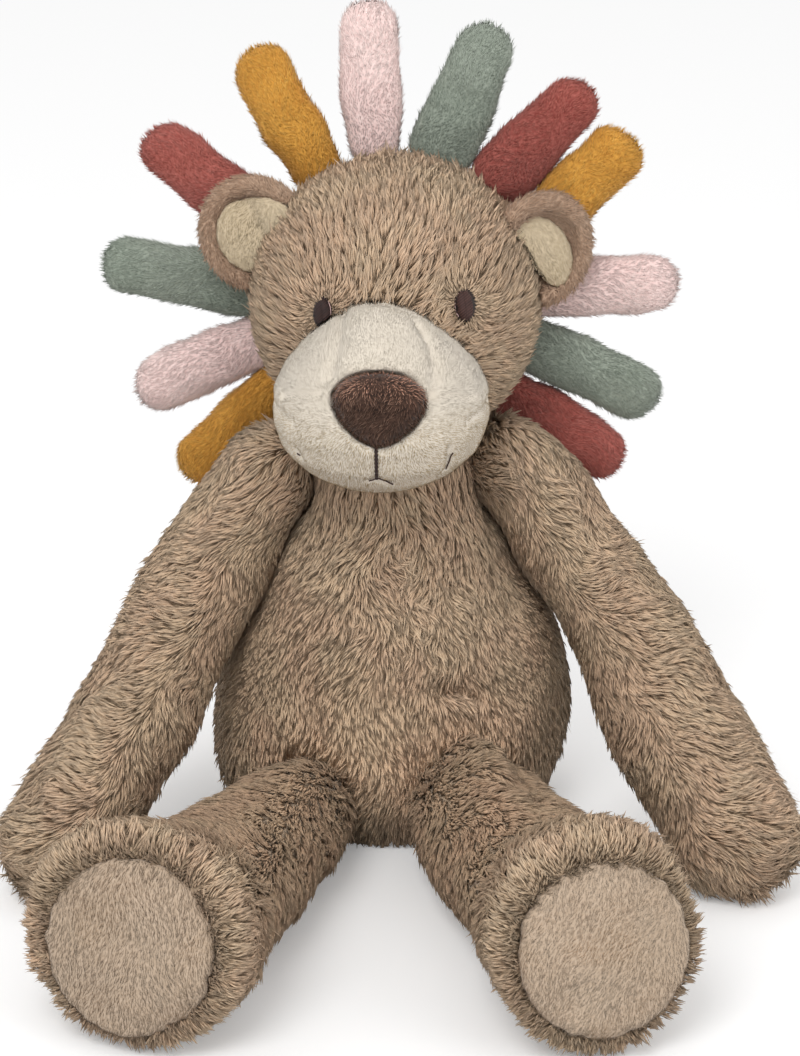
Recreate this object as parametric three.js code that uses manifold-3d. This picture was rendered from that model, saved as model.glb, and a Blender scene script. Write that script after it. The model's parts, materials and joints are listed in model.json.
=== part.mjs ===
// A seated plush lion, in millimetres, +Z up, facing -Y.
// The origin is the middle of the flat seat on the floor.
// Every piece is a stuffed fabric form: its cover and the fibre that fills it are one solid.
// The outer faces lie in the middle of the pile, so the longest hairs stand a little further out.

import * as THREE from 'three';
import { mergeVertices } from 'three/addons/utils/BufferGeometryUtils.js';
import Module from 'manifold-3d';

const wasm = await Module();
wasm.setup();

const { Vector3, Matrix4, CatmullRomCurve3 } = THREE;
const rad = THREE.MathUtils.degToRad;

// Fits shared by every piece
const seamGap = 0.35; // between two pieces that are sewn together
const settle = 0.5; // how far a soft form is pressed flat where it rests
const cutterShare = 2; // a cutting block is this many times larger than what it cuts

// Torso
const torsoHeight = 132; // seat to the middle of the neck
const torsoHalfWidth = 61;
const torsoHalfDepth = 48;
const neckRadius = 27; // the round top of the torso, which the head sits on
const neckBack = -2; // the neck's place along Y

// Head
const headHalfWidth = 49;
const headHalfDepth = 46;
const headHalfHeight = 49;
const headRise = 52; // middle of the neck to the middle of the head
const headTurn = rad(-4);

// Muzzle
const muzzleHalfWidth = 36.5;
const muzzleHeight = 64;
const muzzleReach = 43; // from its root inside the head to its front
const muzzleRootForward = 43; // from the middle of the head
const muzzleDrop = 17.5; // middle of the head down to the middle of the muzzle
const muzzleShift = -1.7; // the muzzle is sewn on a little off centre
const muzzleSeamShare = 0.45; // of its height, where the jaw panel meets the upper panels

// Nose and eyes
const noseHalfWidth = 15;
const noseHalfHeight = 12.3;
const noseThickness = 6.5;
const noseTilt = rad(27);
const noseForward = 86; // from the middle of the head
const noseDrop = 13;
const noseShift = 0.4;
const eyeHalfWidth = 3.6;
const eyeHalfHeight = 5.2;
const eyeThickness = 3;
const eyeSpread = 23.4; // half the distance between the eyes
const eyeShift = 2.6;
const eyeRise = { '-1': 6.8, 1: 9.8 }; // above the middle of the head, by side

// Ears
const earRadius = 21;
const earThickness = 6;
const earCup = 5; // how far the rim curls forward
const earSpread = 47;
const earRise = { '-1': 23, 1: 19 }; // sewn on by hand, one higher than the other
const earBack = 4;
const liningRadius = 14;
const liningThickness = 3;
const liningForward = 5.5; // in front of the middle of the ear

// Mane
const tabLength = 50; // hinge to tip
const tabHalfWidth = 9.6;
const tabHalfThickness = 6.4;
const tabTipRounding = 8.5;
const maneBack = 19; // the ring of roots lies this far behind the middle of the head

// Arms
const armLength = 168; // shoulder to the end of the paw
const shoulderRadius = 18.5;
const pawRadius = 21.5;
const shoulderSpread = 45;
const shoulderHeight = 122;
const shoulderBack = -8;
const armSpread = { '-1': rad(32.8), 1: rad(34.8) };
const armSwingGap = 0.9; // room for an arm to swing beside the torso

// Legs
const legLength = 144; // hip to the sole
const hipRadius = 17;
const footRadius = 32.5;
const hipSpread = 33;
const hipForward = 52;
const legBroadShare = 1.12; // a leg that lies on the floor is broader than it is high
const soleRadius = 28;
const soleThickness = 3.4;

// How finely round forms are faceted
const bodySides = 22;
const limbSides = 16;
const tabSides = 10;

const fabrics = {
  taupe: { color: 0xa38c75, roughness: 0.95, metalness: 0 },
  sole: { color: 0xa89079, roughness: 0.9, metalness: 0 },
  ear: { color: 0x8c7364, roughness: 0.95, metalness: 0 },
  cream: { color: 0xded4c0, roughness: 0.9, metalness: 0 },
  nose: { color: 0x563e38, roughness: 0.85, metalness: 0 },
  eye: { color: 0x462d32, roughness: 0.5, metalness: 0 },
  mustard: { color: 0xc89234, roughness: 0.9, metalness: 0 },
  pink: { color: 0xe0c7c5, roughness: 0.9, metalness: 0 },
  sage: { color: 0x85998b, roughness: 0.9, metalness: 0 },
  red: { color: 0xa55452, roughness: 0.9, metalness: 0 },
};
const maneColours = ['mustard', 'pink', 'sage', 'red'];

// Turns a closed geometry into a solid that can be cut and joined.
function solidOf(geometry) {
  const bare = geometry.index ? geometry.toNonIndexed() : geometry.clone();
  for (const name of Object.keys(bare.attributes)) {
    if (name !== 'position') bare.deleteAttribute(name);
  }
  const merged = mergeVertices(bare);
  return new wasm.Manifold(new wasm.Mesh({
    numProp: 3,
    vertProperties: new Float32Array(merged.attributes.position.array),
    triVerts: new Uint32Array(merged.index.array),
  }));
}

// Joins closed rings of points into a skin, with a pole at each end.
function skinOf(rings, firstPole, lastPole) {
  const sides = rings[0].length;
  const points = [firstPole, ...rings.flat(), lastPole];
  const last = points.length - 1;
  const faces = [];
  const at = (ring, side) => 1 + ring * sides + (side % sides);
  for (let i = 0; i < sides; i += 1) {
    faces.push(0, at(0, i + 1), at(0, i));
    faces.push(last, at(rings.length - 1, i), at(rings.length - 1, i + 1));
  }
  for (let r = 0; r + 1 < rings.length; r += 1) {
    for (let i = 0; i < sides; i += 1) {
      const [a, b, c, d] = [at(r, i), at(r, i + 1), at(r + 1, i + 1), at(r + 1, i)];
      faces.push(a, b, c, a, c, d);
    }
  }
  const geometry = new THREE.BufferGeometry().setFromPoints(points);
  geometry.setIndex(faces);
  return geometry;
}

// A stuffed form that swells and tapers along a spine. Each station is a point of the spine
// with the half width along sideways and the half depth across it. The ends are rounded over
// the lengths in ends, and an end of length zero is flat.
function stuffedForm(stations, sideways, { sides, steps, ends, endRings }) {
  const spine = new CatmullRomCurve3(stations.map(([at]) => at), false, 'catmullrom', 0.5);
  const sizes = new CatmullRomCurve3(
    stations.map(([, wide, deep]) => new Vector3(wide, deep, 0)), false, 'catmullrom', 0.5,
  );
  const frameAt = (t) => {
    const along = spine.getTangent(t);
    const side = sideways.clone().addScaledVector(along, -along.dot(sideways)).normalize();
    return { at: spine.getPoint(t), along, side, up: along.clone().cross(side), size: sizes.getPoint(t) };
  };
  const ringAt = (f, push, share) => {
    const ring = [];
    for (let i = 0; i < sides; i += 1) {
      const turn = (2 * Math.PI * i) / sides;
      ring.push(f.at.clone()
        .addScaledVector(f.along, push)
        .addScaledVector(f.side, f.size.x * share * Math.cos(turn))
        .addScaledVector(f.up, f.size.y * share * Math.sin(turn)));
    }
    return ring;
  };
  const capAt = (f, length) => {
    const rings = [];
    for (let k = 1; k <= (length ? endRings : 0); k += 1) {
      const turn = (Math.PI / 2) * (k / (endRings + 1));
      rings.push(ringAt(f, length * Math.sin(turn), Math.cos(turn)));
    }
    return rings;
  };
  const [startLength, endLength] = ends;
  const first = frameAt(0);
  const last = frameAt(1);
  const middle = [];
  for (let i = 0; i <= steps; i += 1) middle.push(ringAt(frameAt(i / steps), 0, 1));
  const rings = [...capAt(first, -startLength).reverse(), ...middle, ...capAt(last, endLength)];
  const start = first.at.clone().addScaledVector(first.along, -startLength);
  const end = last.at.clone().addScaledVector(last.along, endLength);
  return skinOf(rings, start, end);
}

// A small stuffed pad facing -Y. square above 2 flattens its face, taper narrows its lower
// half, and cup bends its rim forward.
function pad(halfWidth, halfHeight, thickness, { square = 2, taper = 0, cup = 0, sides, steps }) {
  const rings = [];
  const power = 2 / square;
  for (let k = 1; k < steps; k += 1) {
    const lean = Math.PI * (k / steps - 0.5);
    const share = Math.cos(lean) ** power;
    const height = Math.sign(lean) * Math.abs(Math.sin(lean)) ** power;
    const ring = [];
    for (let i = 0; i < sides; i += 1) {
      const turn = (2 * Math.PI * i) / sides;
      const narrowing = 1 + taper * Math.sin(turn);
      ring.push(new Vector3(
        halfWidth * share * narrowing * Math.cos(turn),
        -thickness * height - cup * share * share,
        halfHeight * share * Math.sin(turn),
      ));
    }
    rings.push(ring);
  }
  return skinOf(rings, new Vector3(0, thickness, 0), new Vector3(0, -thickness, 0));
}

// The hollow that a round end is sewn into. Its flat facets all clear a ball of the given radius.
function seatFor(centre, radius, sides) {
  const round = (radius + seamGap) / Math.cos(Math.PI / sides) ** 2;
  const sphere = new THREE.SphereGeometry(round, sides, sides / 2);
  return solidOf(sphere.translate(centre.x, centre.y, centre.z));
}

// Presses a form flat where it rests on the floor.
function restedOnFloor(solid) {
  const size = cutterShare * (torsoHeight + legLength + armLength);
  const floor = new THREE.BoxGeometry(size, size, size).translate(0, 0, -size / 2);
  return solid.subtract(solidOf(floor));
}

const group = new THREE.Group();

// Adds a solid as a named mesh whose own origin is the point it is sewn on at.
function addPiece(name, solid, fabric, sewnAt) {
  const { vertProperties, triVerts } = solid.getMesh();
  const geometry = new THREE.BufferGeometry();
  geometry.setAttribute('position', new THREE.BufferAttribute(new Float32Array(vertProperties), 3));
  geometry.setIndex(new THREE.BufferAttribute(new Uint32Array(triVerts), 1));
  geometry.translate(-sewnAt.x, -sewnAt.y, -sewnAt.z);
  geometry.computeVertexNormals();
  const mesh = new THREE.Mesh(geometry, new THREE.MeshStandardMaterial(fabrics[fabric]));
  mesh.name = name;
  mesh.position.copy(sewnAt);
  group.add(mesh);
}

const neck = new Vector3(0, neckBack, torsoHeight);
const headCentre = neck.clone().add(new Vector3(0, 0, headRise));
const shoulderAt = (side) => new Vector3(side * shoulderSpread, shoulderBack, shoulderHeight);
const hipAt = (side) => new Vector3(side * hipSpread, -hipForward, hipRadius - settle);

// From the head's own frame, with its middle at the origin, to where the head is turned to.
const headPlace = new Matrix4()
  .makeTranslation(headCentre)
  .multiply(new Matrix4().makeRotationZ(headTurn));
const onHead = (geometry) => solidOf(geometry.clone().applyMatrix4(headPlace));

// The point of the head's surface that lies at a place seen from the front.
function headFront(x, z) {
  const share = 1 - (x / headHalfWidth) ** 2 - (z / headHalfHeight) ** 2;
  return new Vector3(x, -headHalfDepth * Math.sqrt(share), z);
}

// The direction that the head's surface faces at one of its points.
function headFacing(point) {
  return new Vector3(
    point.x / headHalfWidth ** 2,
    point.y / headHalfDepth ** 2,
    point.z / headHalfHeight ** 2,
  ).normalize();
}

function headForm(extra) {
  const form = new THREE.SphereGeometry(1, bodySides, bodySides / 2);
  return form.rotateX(Math.PI / 2)
    .scale(headHalfWidth + extra, headHalfDepth + extra, headHalfHeight + extra);
}

// The torso is a pear: wide at the seat, drawn in to the neck, with its belly forward.
function torsoForm(extra) {
  const heightShares = [0, 0.05, 0.12, 0.22, 0.35, 0.48, 0.6, 0.72, 0.82, 0.91, 1];
  const widthShares = [0.7, 0.87, 0.97, 1, 0.98, 0.9, 0.8, 0.68, 0.58, 0.5, 0.44];
  const depthShares = [0.74, 0.9, 0.99, 1.03, 1.02, 0.96, 0.87, 0.76, 0.67, 0.6, 0.56];
  const bellyShares = [0, -0.02, -0.06, -0.08, -0.1, -0.1, -0.08, -0.06, -0.04, -0.02, 0];
  const stations = heightShares.map((share, i) => [
    new Vector3(0, neckBack + bellyShares[i] * torsoHalfDepth, share * (torsoHeight + settle) - settle),
    widthShares[i] * torsoHalfWidth + extra,
    depthShares[i] * torsoHalfDepth + extra,
  ]);
  return stuffedForm(stations, new Vector3(1, 0, 0), {
    sides: bodySides, steps: 12, ends: [0, neckRadius + extra], endRings: 4,
  });
}

// An arm hangs from the shoulder and swings forward to its paw, in the plane X = 0.
function armForm() {
  const downShares = [0, 0.2, 0.4, 0.58, 0.73];
  const forwardShares = [0, 0.04, 0.15, 0.29, 0.42];
  const swellShares = [0, 0.5, 0.85, 1, 1];
  const stations = downShares.map((share, i) => {
    const radius = shoulderRadius + swellShares[i] * (pawRadius - shoulderRadius);
    return [
      new Vector3(0, -forwardShares[i] * armLength, -share * armLength),
      radius,
      radius,
    ];
  });
  return stuffedForm(stations, new Vector3(1, 0, 0), {
    sides: limbSides, steps: 7, ends: [shoulderRadius, pawRadius], endRings: 3,
  });
}

// A leg lies on the floor and swells into a foot whose flat end looks forward and up.
function legForm(extra) {
  const alongShares = [0, 0.2, 0.42, 0.62, 0.77, 0.88, 0.95, 1];
  const swellShares = [0, 0.2, 0.36, 0.56, 0.78, 0.95, 1, 0.92];
  const broadShares = [0, 0.6, 1, 0.8, 0.4, 0.1, 0, 0];
  const liftShares = [0, 0, 0, 0, 0, 0, 0.04, 0.09];
  const stations = alongShares.map((share, i) => {
    const radius = hipRadius + swellShares[i] * (footRadius - hipRadius);
    const under = Math.min(radius, footRadius) - hipRadius;
    const height = Math.max(under, share > 0.9 ? footRadius - hipRadius : 0) + liftShares[i] * footRadius;
    const broad = 1 + broadShares[i] * (legBroadShare - 1);
    return [new Vector3(0, -share * legLength, height), radius * broad + extra, radius + extra];
  });
  return stuffedForm(stations, new Vector3(1, 0, 0), {
    sides: limbSides, steps: 9, ends: [hipRadius + extra, 0], endRings: 3,
  });
}

// Both legs are one form, and each lies splayed by its own angle.
const legSplay = { '-1': rad(-19), 1: rad(12) };
const legLift = rad(45); // how far a leg lifts from the floor
const thighGap = 0.5; // room for a thigh in the belly, at rest and as it lifts
const creaseLiftShares = [0, 0.5, 1];

// The sole sits on the end of the foot, square to it.
const solePitch = rad(12);
const soleLiftShare = 0.09;
const soleCentre = new Vector3(0, -legLength, (1 + soleLiftShare) * footRadius - hipRadius);

function solePad(extra) {
  return pad(soleRadius + extra, soleRadius + extra, soleThickness + extra, {
    square: 4, sides: limbSides, steps: 5,
  }).rotateX(-solePitch).translate(soleCentre.x, soleCentre.y, soleCentre.z);
}

const legPlace = (side, lift) => new Matrix4()
  .makeTranslation(hipAt(side))
  .multiply(new Matrix4().makeRotationX(-lift))
  .multiply(new Matrix4().makeRotationZ(legSplay[side]));

function addLegs() {
  for (const [side, word] of [[-1, 'right'], [1, 'left']]) {
    const place = legPlace(side, 0);
    const leg = solidOf(legForm(0).applyMatrix4(place))
      .subtract(solidOf(solePad(seamGap).applyMatrix4(place)));
    const sole = solidOf(solePad(0).applyMatrix4(place));
    addPiece(`leg_${word}`, restedOnFloor(leg), 'taupe', hipAt(side));
    addPiece(`sole_${word}`, restedOnFloor(sole), 'sole', soleCentre.clone().applyMatrix4(place));
  }
}

// An arm is cut by the side of the torso, apart from the round end that turns in it.
function addArms() {
  for (const [side, word] of [[-1, 'right'], [1, 'left']]) {
    const at = shoulderAt(side);
    const place = new Matrix4()
      .makeTranslation(at)
      .multiply(new Matrix4().makeRotationY(-side * armSpread[side]));
    const round = new THREE.SphereGeometry(shoulderRadius, limbSides, limbSides / 2);
    const beside = solidOf(torsoForm(armSwingGap))
      .subtract(solidOf(round.translate(at.x, at.y, at.z)));
    const arm = solidOf(armForm().applyMatrix4(place)).subtract(beside);
    addPiece(`arm_${word}`, restedOnFloor(arm), 'taupe', at);
  }
}

// The torso is hollowed where the round ends of the limbs are sewn in, and creased where a
// lifted thigh presses into the belly.
function addTorso() {
  let torso = solidOf(torsoForm(0));
  for (const side of [-1, 1]) {
    torso = torso
      .subtract(seatFor(shoulderAt(side), shoulderRadius, limbSides))
      .subtract(seatFor(hipAt(side), hipRadius + thighGap, limbSides));
    for (const share of creaseLiftShares) {
      const thigh = legForm(thighGap).applyMatrix4(legPlace(side, share * legLift));
      torso = torso.subtract(solidOf(thigh));
    }
  }
  addPiece('torso', restedOnFloor(torso), 'taupe', new Vector3());
}

// The head is hollowed below, where it sits on the round top of the torso.
const neckSeat = () => seatFor(neck, neckRadius, limbSides);

function addHead() {
  addPiece('head', onHead(headForm(0)).subtract(neckSeat()), 'taupe', neck);
}

// The muzzle is a stack of ovals, wide at the jaw and narrow at the bridge.
function muzzleForm(extra) {
  const heightShares = [0, 0.05, 0.13, 0.26, 0.43, 0.58, 0.74, 0.85, 0.93, 1];
  const widthShares = [0.3, 0.55, 0.77, 0.96, 1, 0.95, 0.74, 0.53, 0.36, 0.15];
  const reachShares = [0.3, 0.56, 0.77, 0.94, 1, 0.97, 0.83, 0.66, 0.46, 0.2];
  const stations = heightShares.map((share, i) => [
    new Vector3(muzzleShift, -muzzleRootForward, muzzleHeight * (share - 0.5) - muzzleDrop),
    widthShares[i] * muzzleHalfWidth + extra,
    reachShares[i] * muzzleReach + extra,
  ]);
  return stuffedForm(stations, new Vector3(1, 0, 0), {
    sides: bodySides, steps: 10, ends: [0, 0], endRings: 0,
  });
}

// The seam round the muzzle parts the jaw panel from the upper panels.
function addMuzzle() {
  const whole = onHead(muzzleForm(0)).subtract(onHead(headForm(seamGap))).subtract(neckSeat());
  const size = cutterShare * (muzzleHeight + muzzleReach);
  const seamHeight = muzzleHeight * (muzzleSeamShare - 0.5) - muzzleDrop;
  const block = (sign) => onHead(new THREE.BoxGeometry(size, size, size)
    .translate(0, -muzzleRootForward, seamHeight + sign * (size + seamGap) / 2));
  const root = new Vector3(muzzleShift, -muzzleRootForward, seamHeight).applyMatrix4(headPlace);
  const nose = onHead(noseForm(seamGap));
  addPiece('muzzle_upper', whole.intersect(block(1)).subtract(nose), 'cream', root);
  addPiece('muzzle_jaw', whole.intersect(block(-1)).subtract(nose), 'cream', root);
}

function noseForm(extra) {
  return pad(noseHalfWidth + extra, noseHalfHeight + extra, noseThickness + extra, {
    square: 2.6, taper: 0.34, sides: limbSides, steps: 6,
  }).rotateX(-noseTilt).translate(noseShift, -noseForward + noseThickness, -noseDrop);
}

function addNose() {
  const seat = new Vector3(noseShift, -noseForward, -noseDrop).applyMatrix4(headPlace);
  addPiece('nose', onHead(noseForm(0)), 'nose', seat);
}

// An eye is a raised oval of thread on the front of the head.
function addEyes() {
  for (const [side, word] of [[-1, 'right'], [1, 'left']]) {
    const seat = headFront(side * eyeSpread + eyeShift, eyeRise[side]);
    const facing = headFacing(seat);
    const aim = new Matrix4().makeRotationFromQuaternion(
      new THREE.Quaternion().setFromUnitVectors(new Vector3(0, -1, 0), facing),
    );
    const eye = pad(eyeHalfWidth, eyeHalfHeight, eyeThickness, { sides: 12, steps: 5 })
      .applyMatrix4(aim)
      .translate(seat.x, seat.y, seat.z);
    const cut = onHead(eye).subtract(onHead(headForm(seamGap))).subtract(onHead(muzzleForm(seamGap)));
    addPiece(`eye_${word}`, cut, 'eye', seat.clone().applyMatrix4(headPlace));
  }
}

// An ear is a cupped pad on each upper corner of the head, with a pale lining in its hollow.
const earYaw = { '-1': rad(-12), 1: rad(34) };
const earRoll = rad(28);

function onEar(geometry, side) {
  const place = new Matrix4()
    .makeTranslation(side * earSpread, earBack, earRise[side])
    .multiply(new Matrix4().makeRotationZ(earYaw[side]))
    .multiply(new Matrix4().makeRotationY(side * earRoll));
  return onHead(geometry.applyMatrix4(place));
}

function earLining(extra) {
  return pad(liningRadius + extra, liningRadius + extra, liningThickness + extra, {
    square: 2.4, sides: limbSides, steps: 5,
  }).translate(0, -liningForward, 0);
}

function addEars() {
  for (const [side, word] of [[-1, 'right'], [1, 'left']]) {
    const clear = onHead(headForm(seamGap));
    const shell = pad(earRadius, earRadius, earThickness, {
      square: 2.6, cup: earCup, sides: 20, steps: 6,
    });
    const ear = onEar(shell, side).subtract(clear).subtract(onEar(earLining(seamGap), side));
    const seat = new Vector3(side * earSpread, earBack, earRise[side]).applyMatrix4(headPlace);
    addPiece(`ear_${word}`, ear, 'ear', seat);
    addPiece(`ear_lining_${word}`, onEar(earLining(0), side).subtract(clear), 'cream', seat);
  }
}

// The mane tabs stand in a ring behind the head's widest line, counted from the lowest one on
// the -X side over the top. Angles are seen from the front, from +X towards +Z: where each tab is
// sewn on, and the way it points. Each is as long as its share of the common length.
const tabRootDegrees = [223, 205, 183, 154, 124, 98.5, 73, 47, 22.5, -2.5, -26, -51];
const tabPointDegrees = [226, 206, 170, 142, 116.5, 92, 69.5, 46.5, 45.5, 3.5, -25, -31.5];
const tabLengthShares = [1.08, 1.03, 1.1, 1.06, 0.92, 0.98, 0.93, 0.9, 0.95, 0.95, 1.02, 1.1];

function tabForm(length) {
  const alongShares = [0, 0.28, 0.6, 1];
  const widthShares = [0.8, 0.97, 1, 0.99];
  const depthShares = [0.94, 1, 1, 0.94];
  const straight = length - tabTipRounding;
  const stations = alongShares.map((share, i) => [
    new Vector3(0, 0, share * straight),
    widthShares[i] * tabHalfWidth,
    depthShares[i] * tabHalfThickness,
  ]);
  return stuffedForm(stations, new Vector3(1, 0, 0), {
    sides: tabSides, steps: 2, ends: [tabHalfThickness, tabTipRounding], endRings: 2,
  });
}

// A tab's rounded root is sewn on where a line from the middle of the head meets its skin.
const headSkin = new THREE.Mesh(headForm(0), new THREE.MeshBasicMaterial({ side: THREE.DoubleSide }));

function tabPlace(index) {
  const round = rad(tabRootDegrees[index]);
  const back = Math.sqrt(1 - (maneBack / headHalfDepth) ** 2);
  const outward = new Vector3(
    headHalfWidth * back * Math.cos(round),
    maneBack,
    headHalfHeight * back * Math.sin(round),
  ).normalize();
  const [seam] = new THREE.Raycaster(new Vector3(), outward).intersectObject(headSkin);
  const root = seam.point.clone().addScaledVector(seam.face.normal, tabHalfThickness + seamGap);
  return new Matrix4()
    .makeTranslation(root)
    .multiply(new Matrix4().makeRotationY(Math.PI / 2 - rad(tabPointDegrees[index])));
}

function addMane() {
  for (let i = 0; i < tabRootDegrees.length; i += 1) {
    const place = tabPlace(i);
    const tab = onHead(tabForm(tabLengthShares[i] * tabLength).applyMatrix4(place));
    const root = new Vector3().setFromMatrixPosition(place).applyMatrix4(headPlace);
    const name = `mane_tab_${String(i + 1).padStart(2, '0')}`;
    addPiece(name, tab, maneColours[i % maneColours.length], root);
  }
}

addTorso();
addHead();
addMuzzle();
addNose();
addEyes();
addEars();
addMane();
addArms();
addLegs();

export default group;
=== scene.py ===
# %% [markdown]
# # A seated plush lion
#
# A plush toy is a set of sewn fabric covers, stuffed tight with fibre, and its look comes from
# the pile of those fabrics: long combed fur on the body, short velvety pile on the muzzle, the
# mane, the ears and the soles. The solid model gives the sizes and the joints. This lesson puts
# fabric over it, piece by piece, and each new piece rides on the part of the model it belongs to.

# %% Open the solid model
import json
import math

import bpy
import bmesh
import numpy as np
from mathutils import Matrix, Vector, noise
from mathutils.bvhtree import BVHTree

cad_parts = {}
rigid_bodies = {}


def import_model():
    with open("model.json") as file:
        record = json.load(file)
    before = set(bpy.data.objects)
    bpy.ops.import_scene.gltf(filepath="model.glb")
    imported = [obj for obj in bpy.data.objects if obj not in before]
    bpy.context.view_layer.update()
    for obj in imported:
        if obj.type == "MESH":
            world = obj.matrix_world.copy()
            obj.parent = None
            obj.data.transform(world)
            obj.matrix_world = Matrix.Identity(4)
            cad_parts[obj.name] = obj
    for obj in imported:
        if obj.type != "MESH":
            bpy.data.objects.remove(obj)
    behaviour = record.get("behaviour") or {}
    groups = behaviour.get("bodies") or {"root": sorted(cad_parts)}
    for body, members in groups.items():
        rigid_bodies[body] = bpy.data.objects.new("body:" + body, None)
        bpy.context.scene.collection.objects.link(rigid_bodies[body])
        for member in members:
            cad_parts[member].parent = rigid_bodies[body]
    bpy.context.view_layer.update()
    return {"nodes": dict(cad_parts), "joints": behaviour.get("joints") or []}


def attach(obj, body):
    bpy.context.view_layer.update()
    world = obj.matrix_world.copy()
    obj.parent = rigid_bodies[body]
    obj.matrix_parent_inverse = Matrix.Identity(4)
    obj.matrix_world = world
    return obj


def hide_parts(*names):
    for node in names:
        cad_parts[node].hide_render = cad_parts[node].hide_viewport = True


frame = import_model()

MM = 0.001

# %% [markdown]
# ## Camera
#
# A camera is a place, a direction and a lens. The toy is seen from a little above, from just
# over a metre away, so a long lens keeps its feet from looking too big. The lens is given on a
# sensor 36 mm long, which Blender lays along the longer side of the picture.

# %% Camera
PICTURE = (800, 1056)
LENS = 112.0
SENSOR = 36.0
eye_point = Vector((0.0015, -1.0806, 0.4943))
aim_point = Vector((0.0015, 0.0, 0.101))

camera_data = bpy.data.cameras.new("camera")
camera_data.lens = LENS
camera_data.sensor_width = SENSOR
camera = bpy.data.objects.new("camera", camera_data)
camera.location = eye_point
camera.rotation_euler = (aim_point - eye_point).to_track_quat("-Z", "Y").to_euler()
bpy.context.scene.collection.objects.link(camera)
bpy.context.scene.camera = camera


def ray_through(px, py):
    """The direction from the camera through a point of the picture, in pixels."""
    focal = LENS / SENSOR * PICTURE[1]
    x = (px - PICTURE[0] / 2) / focal
    y = (PICTURE[1] / 2 - py) / focal
    turn = (aim_point - eye_point).to_track_quat("-Z", "Y")
    return (turn @ Vector((x, y, -1))).normalized()


print("camera elevation, degrees:", round(math.degrees(math.asin(
    (eye_point - aim_point).normalized().z)), 1))

# %% [markdown]
# ## Node helpers
#
# Materials and Geometry Nodes are both built from nodes in code. One small function adds a node,
# sets what it holds, and links or fills its sockets, so each later step reads as a list of nodes.
# Colours are written as they look on screen, from 0 to 255, and turned into linear light here.

# %% Node helpers


def add(tree, kind, inputs=None, **settings):
    made = tree.nodes.new(kind)
    for key, value in settings.items():
        setattr(made, key, value)
    for socket, value in (inputs or {}).items():
        if isinstance(value, bpy.types.NodeSocket):
            tree.links.new(value, made.inputs[socket])
        else:
            made.inputs[socket].default_value = value
    return made


def linear(rgb):
    """A screen colour, 0 to 255, as linear light."""
    shares = [channel / 255 for channel in rgb]
    light = [s / 12.92 if s <= 0.04045 else ((s + 0.055) / 1.055) ** 2.4 for s in shares]
    return (*light, 1.0)


def ramp(tree, fac, stops):
    made = add(tree, "ShaderNodeValToRGB", {"Fac": fac})
    elements = made.color_ramp.elements
    while len(elements) < len(stops):
        elements.new(0.5)
    for element, (place, colour) in zip(elements, stops):
        element.position = place
        element.color = linear(colour)
    return made.outputs["Color"]


def mixed(tree, fac, a, b, blend="MIX"):
    return add(tree, "ShaderNodeMix", {0: fac, 6: a, 7: b}, data_type="RGBA",
               blend_type=blend).outputs[2]


def tinted(tree, fac, colour, tint):
    return mixed(tree, fac, colour, mixed(tree, 1.0, colour, linear(tint), "MULTIPLY"))


def mapped(tree, value, low, high, start=0.0, end=1.0):
    return add(tree, "ShaderNodeMapRange", {
        "Value": value, "From Min": start, "From Max": end, "To Min": low, "To Max": high,
    }).outputs["Result"]


def maths(tree, operation, *values):
    return add(tree, "ShaderNodeMath", dict(enumerate(values)), operation=operation).outputs[0]


def product(tree, first, *others):
    for other in others:
        first = maths(tree, "MULTIPLY", first, other)
    return first


def vectors(tree, operation, *values):
    made = add(tree, "ShaderNodeVectorMath", dict(enumerate(values)), operation=operation)
    return made.outputs["Value" if operation == "DOT_PRODUCT" else "Vector"]


def total(tree, first, *others):
    for other in others:
        first = vectors(tree, "ADD", first, other)
    return first


def scaled(tree, vector, share):
    return add(tree, "ShaderNodeVectorMath", {"Vector": vector, "Scale": share},
               operation="SCALE").outputs["Vector"]


def joined(tree, **parts):
    """A vector from its X, Y and Z."""
    return add(tree, "ShaderNodeCombineXYZ", parts).outputs["Vector"]


def noise_at(tree, place, scale, detail=2.0, roughness=0.5):
    return add(tree, "ShaderNodeTexNoise", {
        "Vector": place, "Scale": scale, "Detail": detail, "Roughness": roughness,
    }).outputs


def attribute(tree, label, output="Fac"):
    return add(tree, "ShaderNodeAttribute", attribute_name=label).outputs[output]


def new_material(name):
    material = bpy.data.materials.new(name)
    material.use_nodes = True
    material.node_tree.nodes.clear()
    return material, material.node_tree


def end_in_principled(tree, inputs):
    shader = add(tree, "ShaderNodeBsdfPrincipled", inputs)
    add(tree, "ShaderNodeOutputMaterial", {"Surface": shader.outputs["BSDF"]})


# %% [markdown]
# ## Pile materials
#
# Each fibre of a pile fabric is dark at its root, where little light gets in, and pale at its
# worn tip. The colour therefore follows a root-to-tip value that is stored on every lock of
# fur. A random value for each lock keeps neighbours apart, broad noise in object space gives
# the soft patches of dye and handling, and a fine streak along the lock stands for single
# fibres. A lock is lit partly by its own faces and partly as the skin under it, by a share
# called evenness, so short pile reads as one soft surface. The backing under the pile gets the
# colours of the roots.

# %% Pile materials
PATCH_SIZE = 0.022
CLOUD_SHIFT = (3.1, 1.7, 5.3)
STREAKS_ACROSS, STREAKS_ALONG, STREAKS_APART = 1.6, 0.9, 97.0
BACKING_GRAIN = 0.0012


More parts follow.
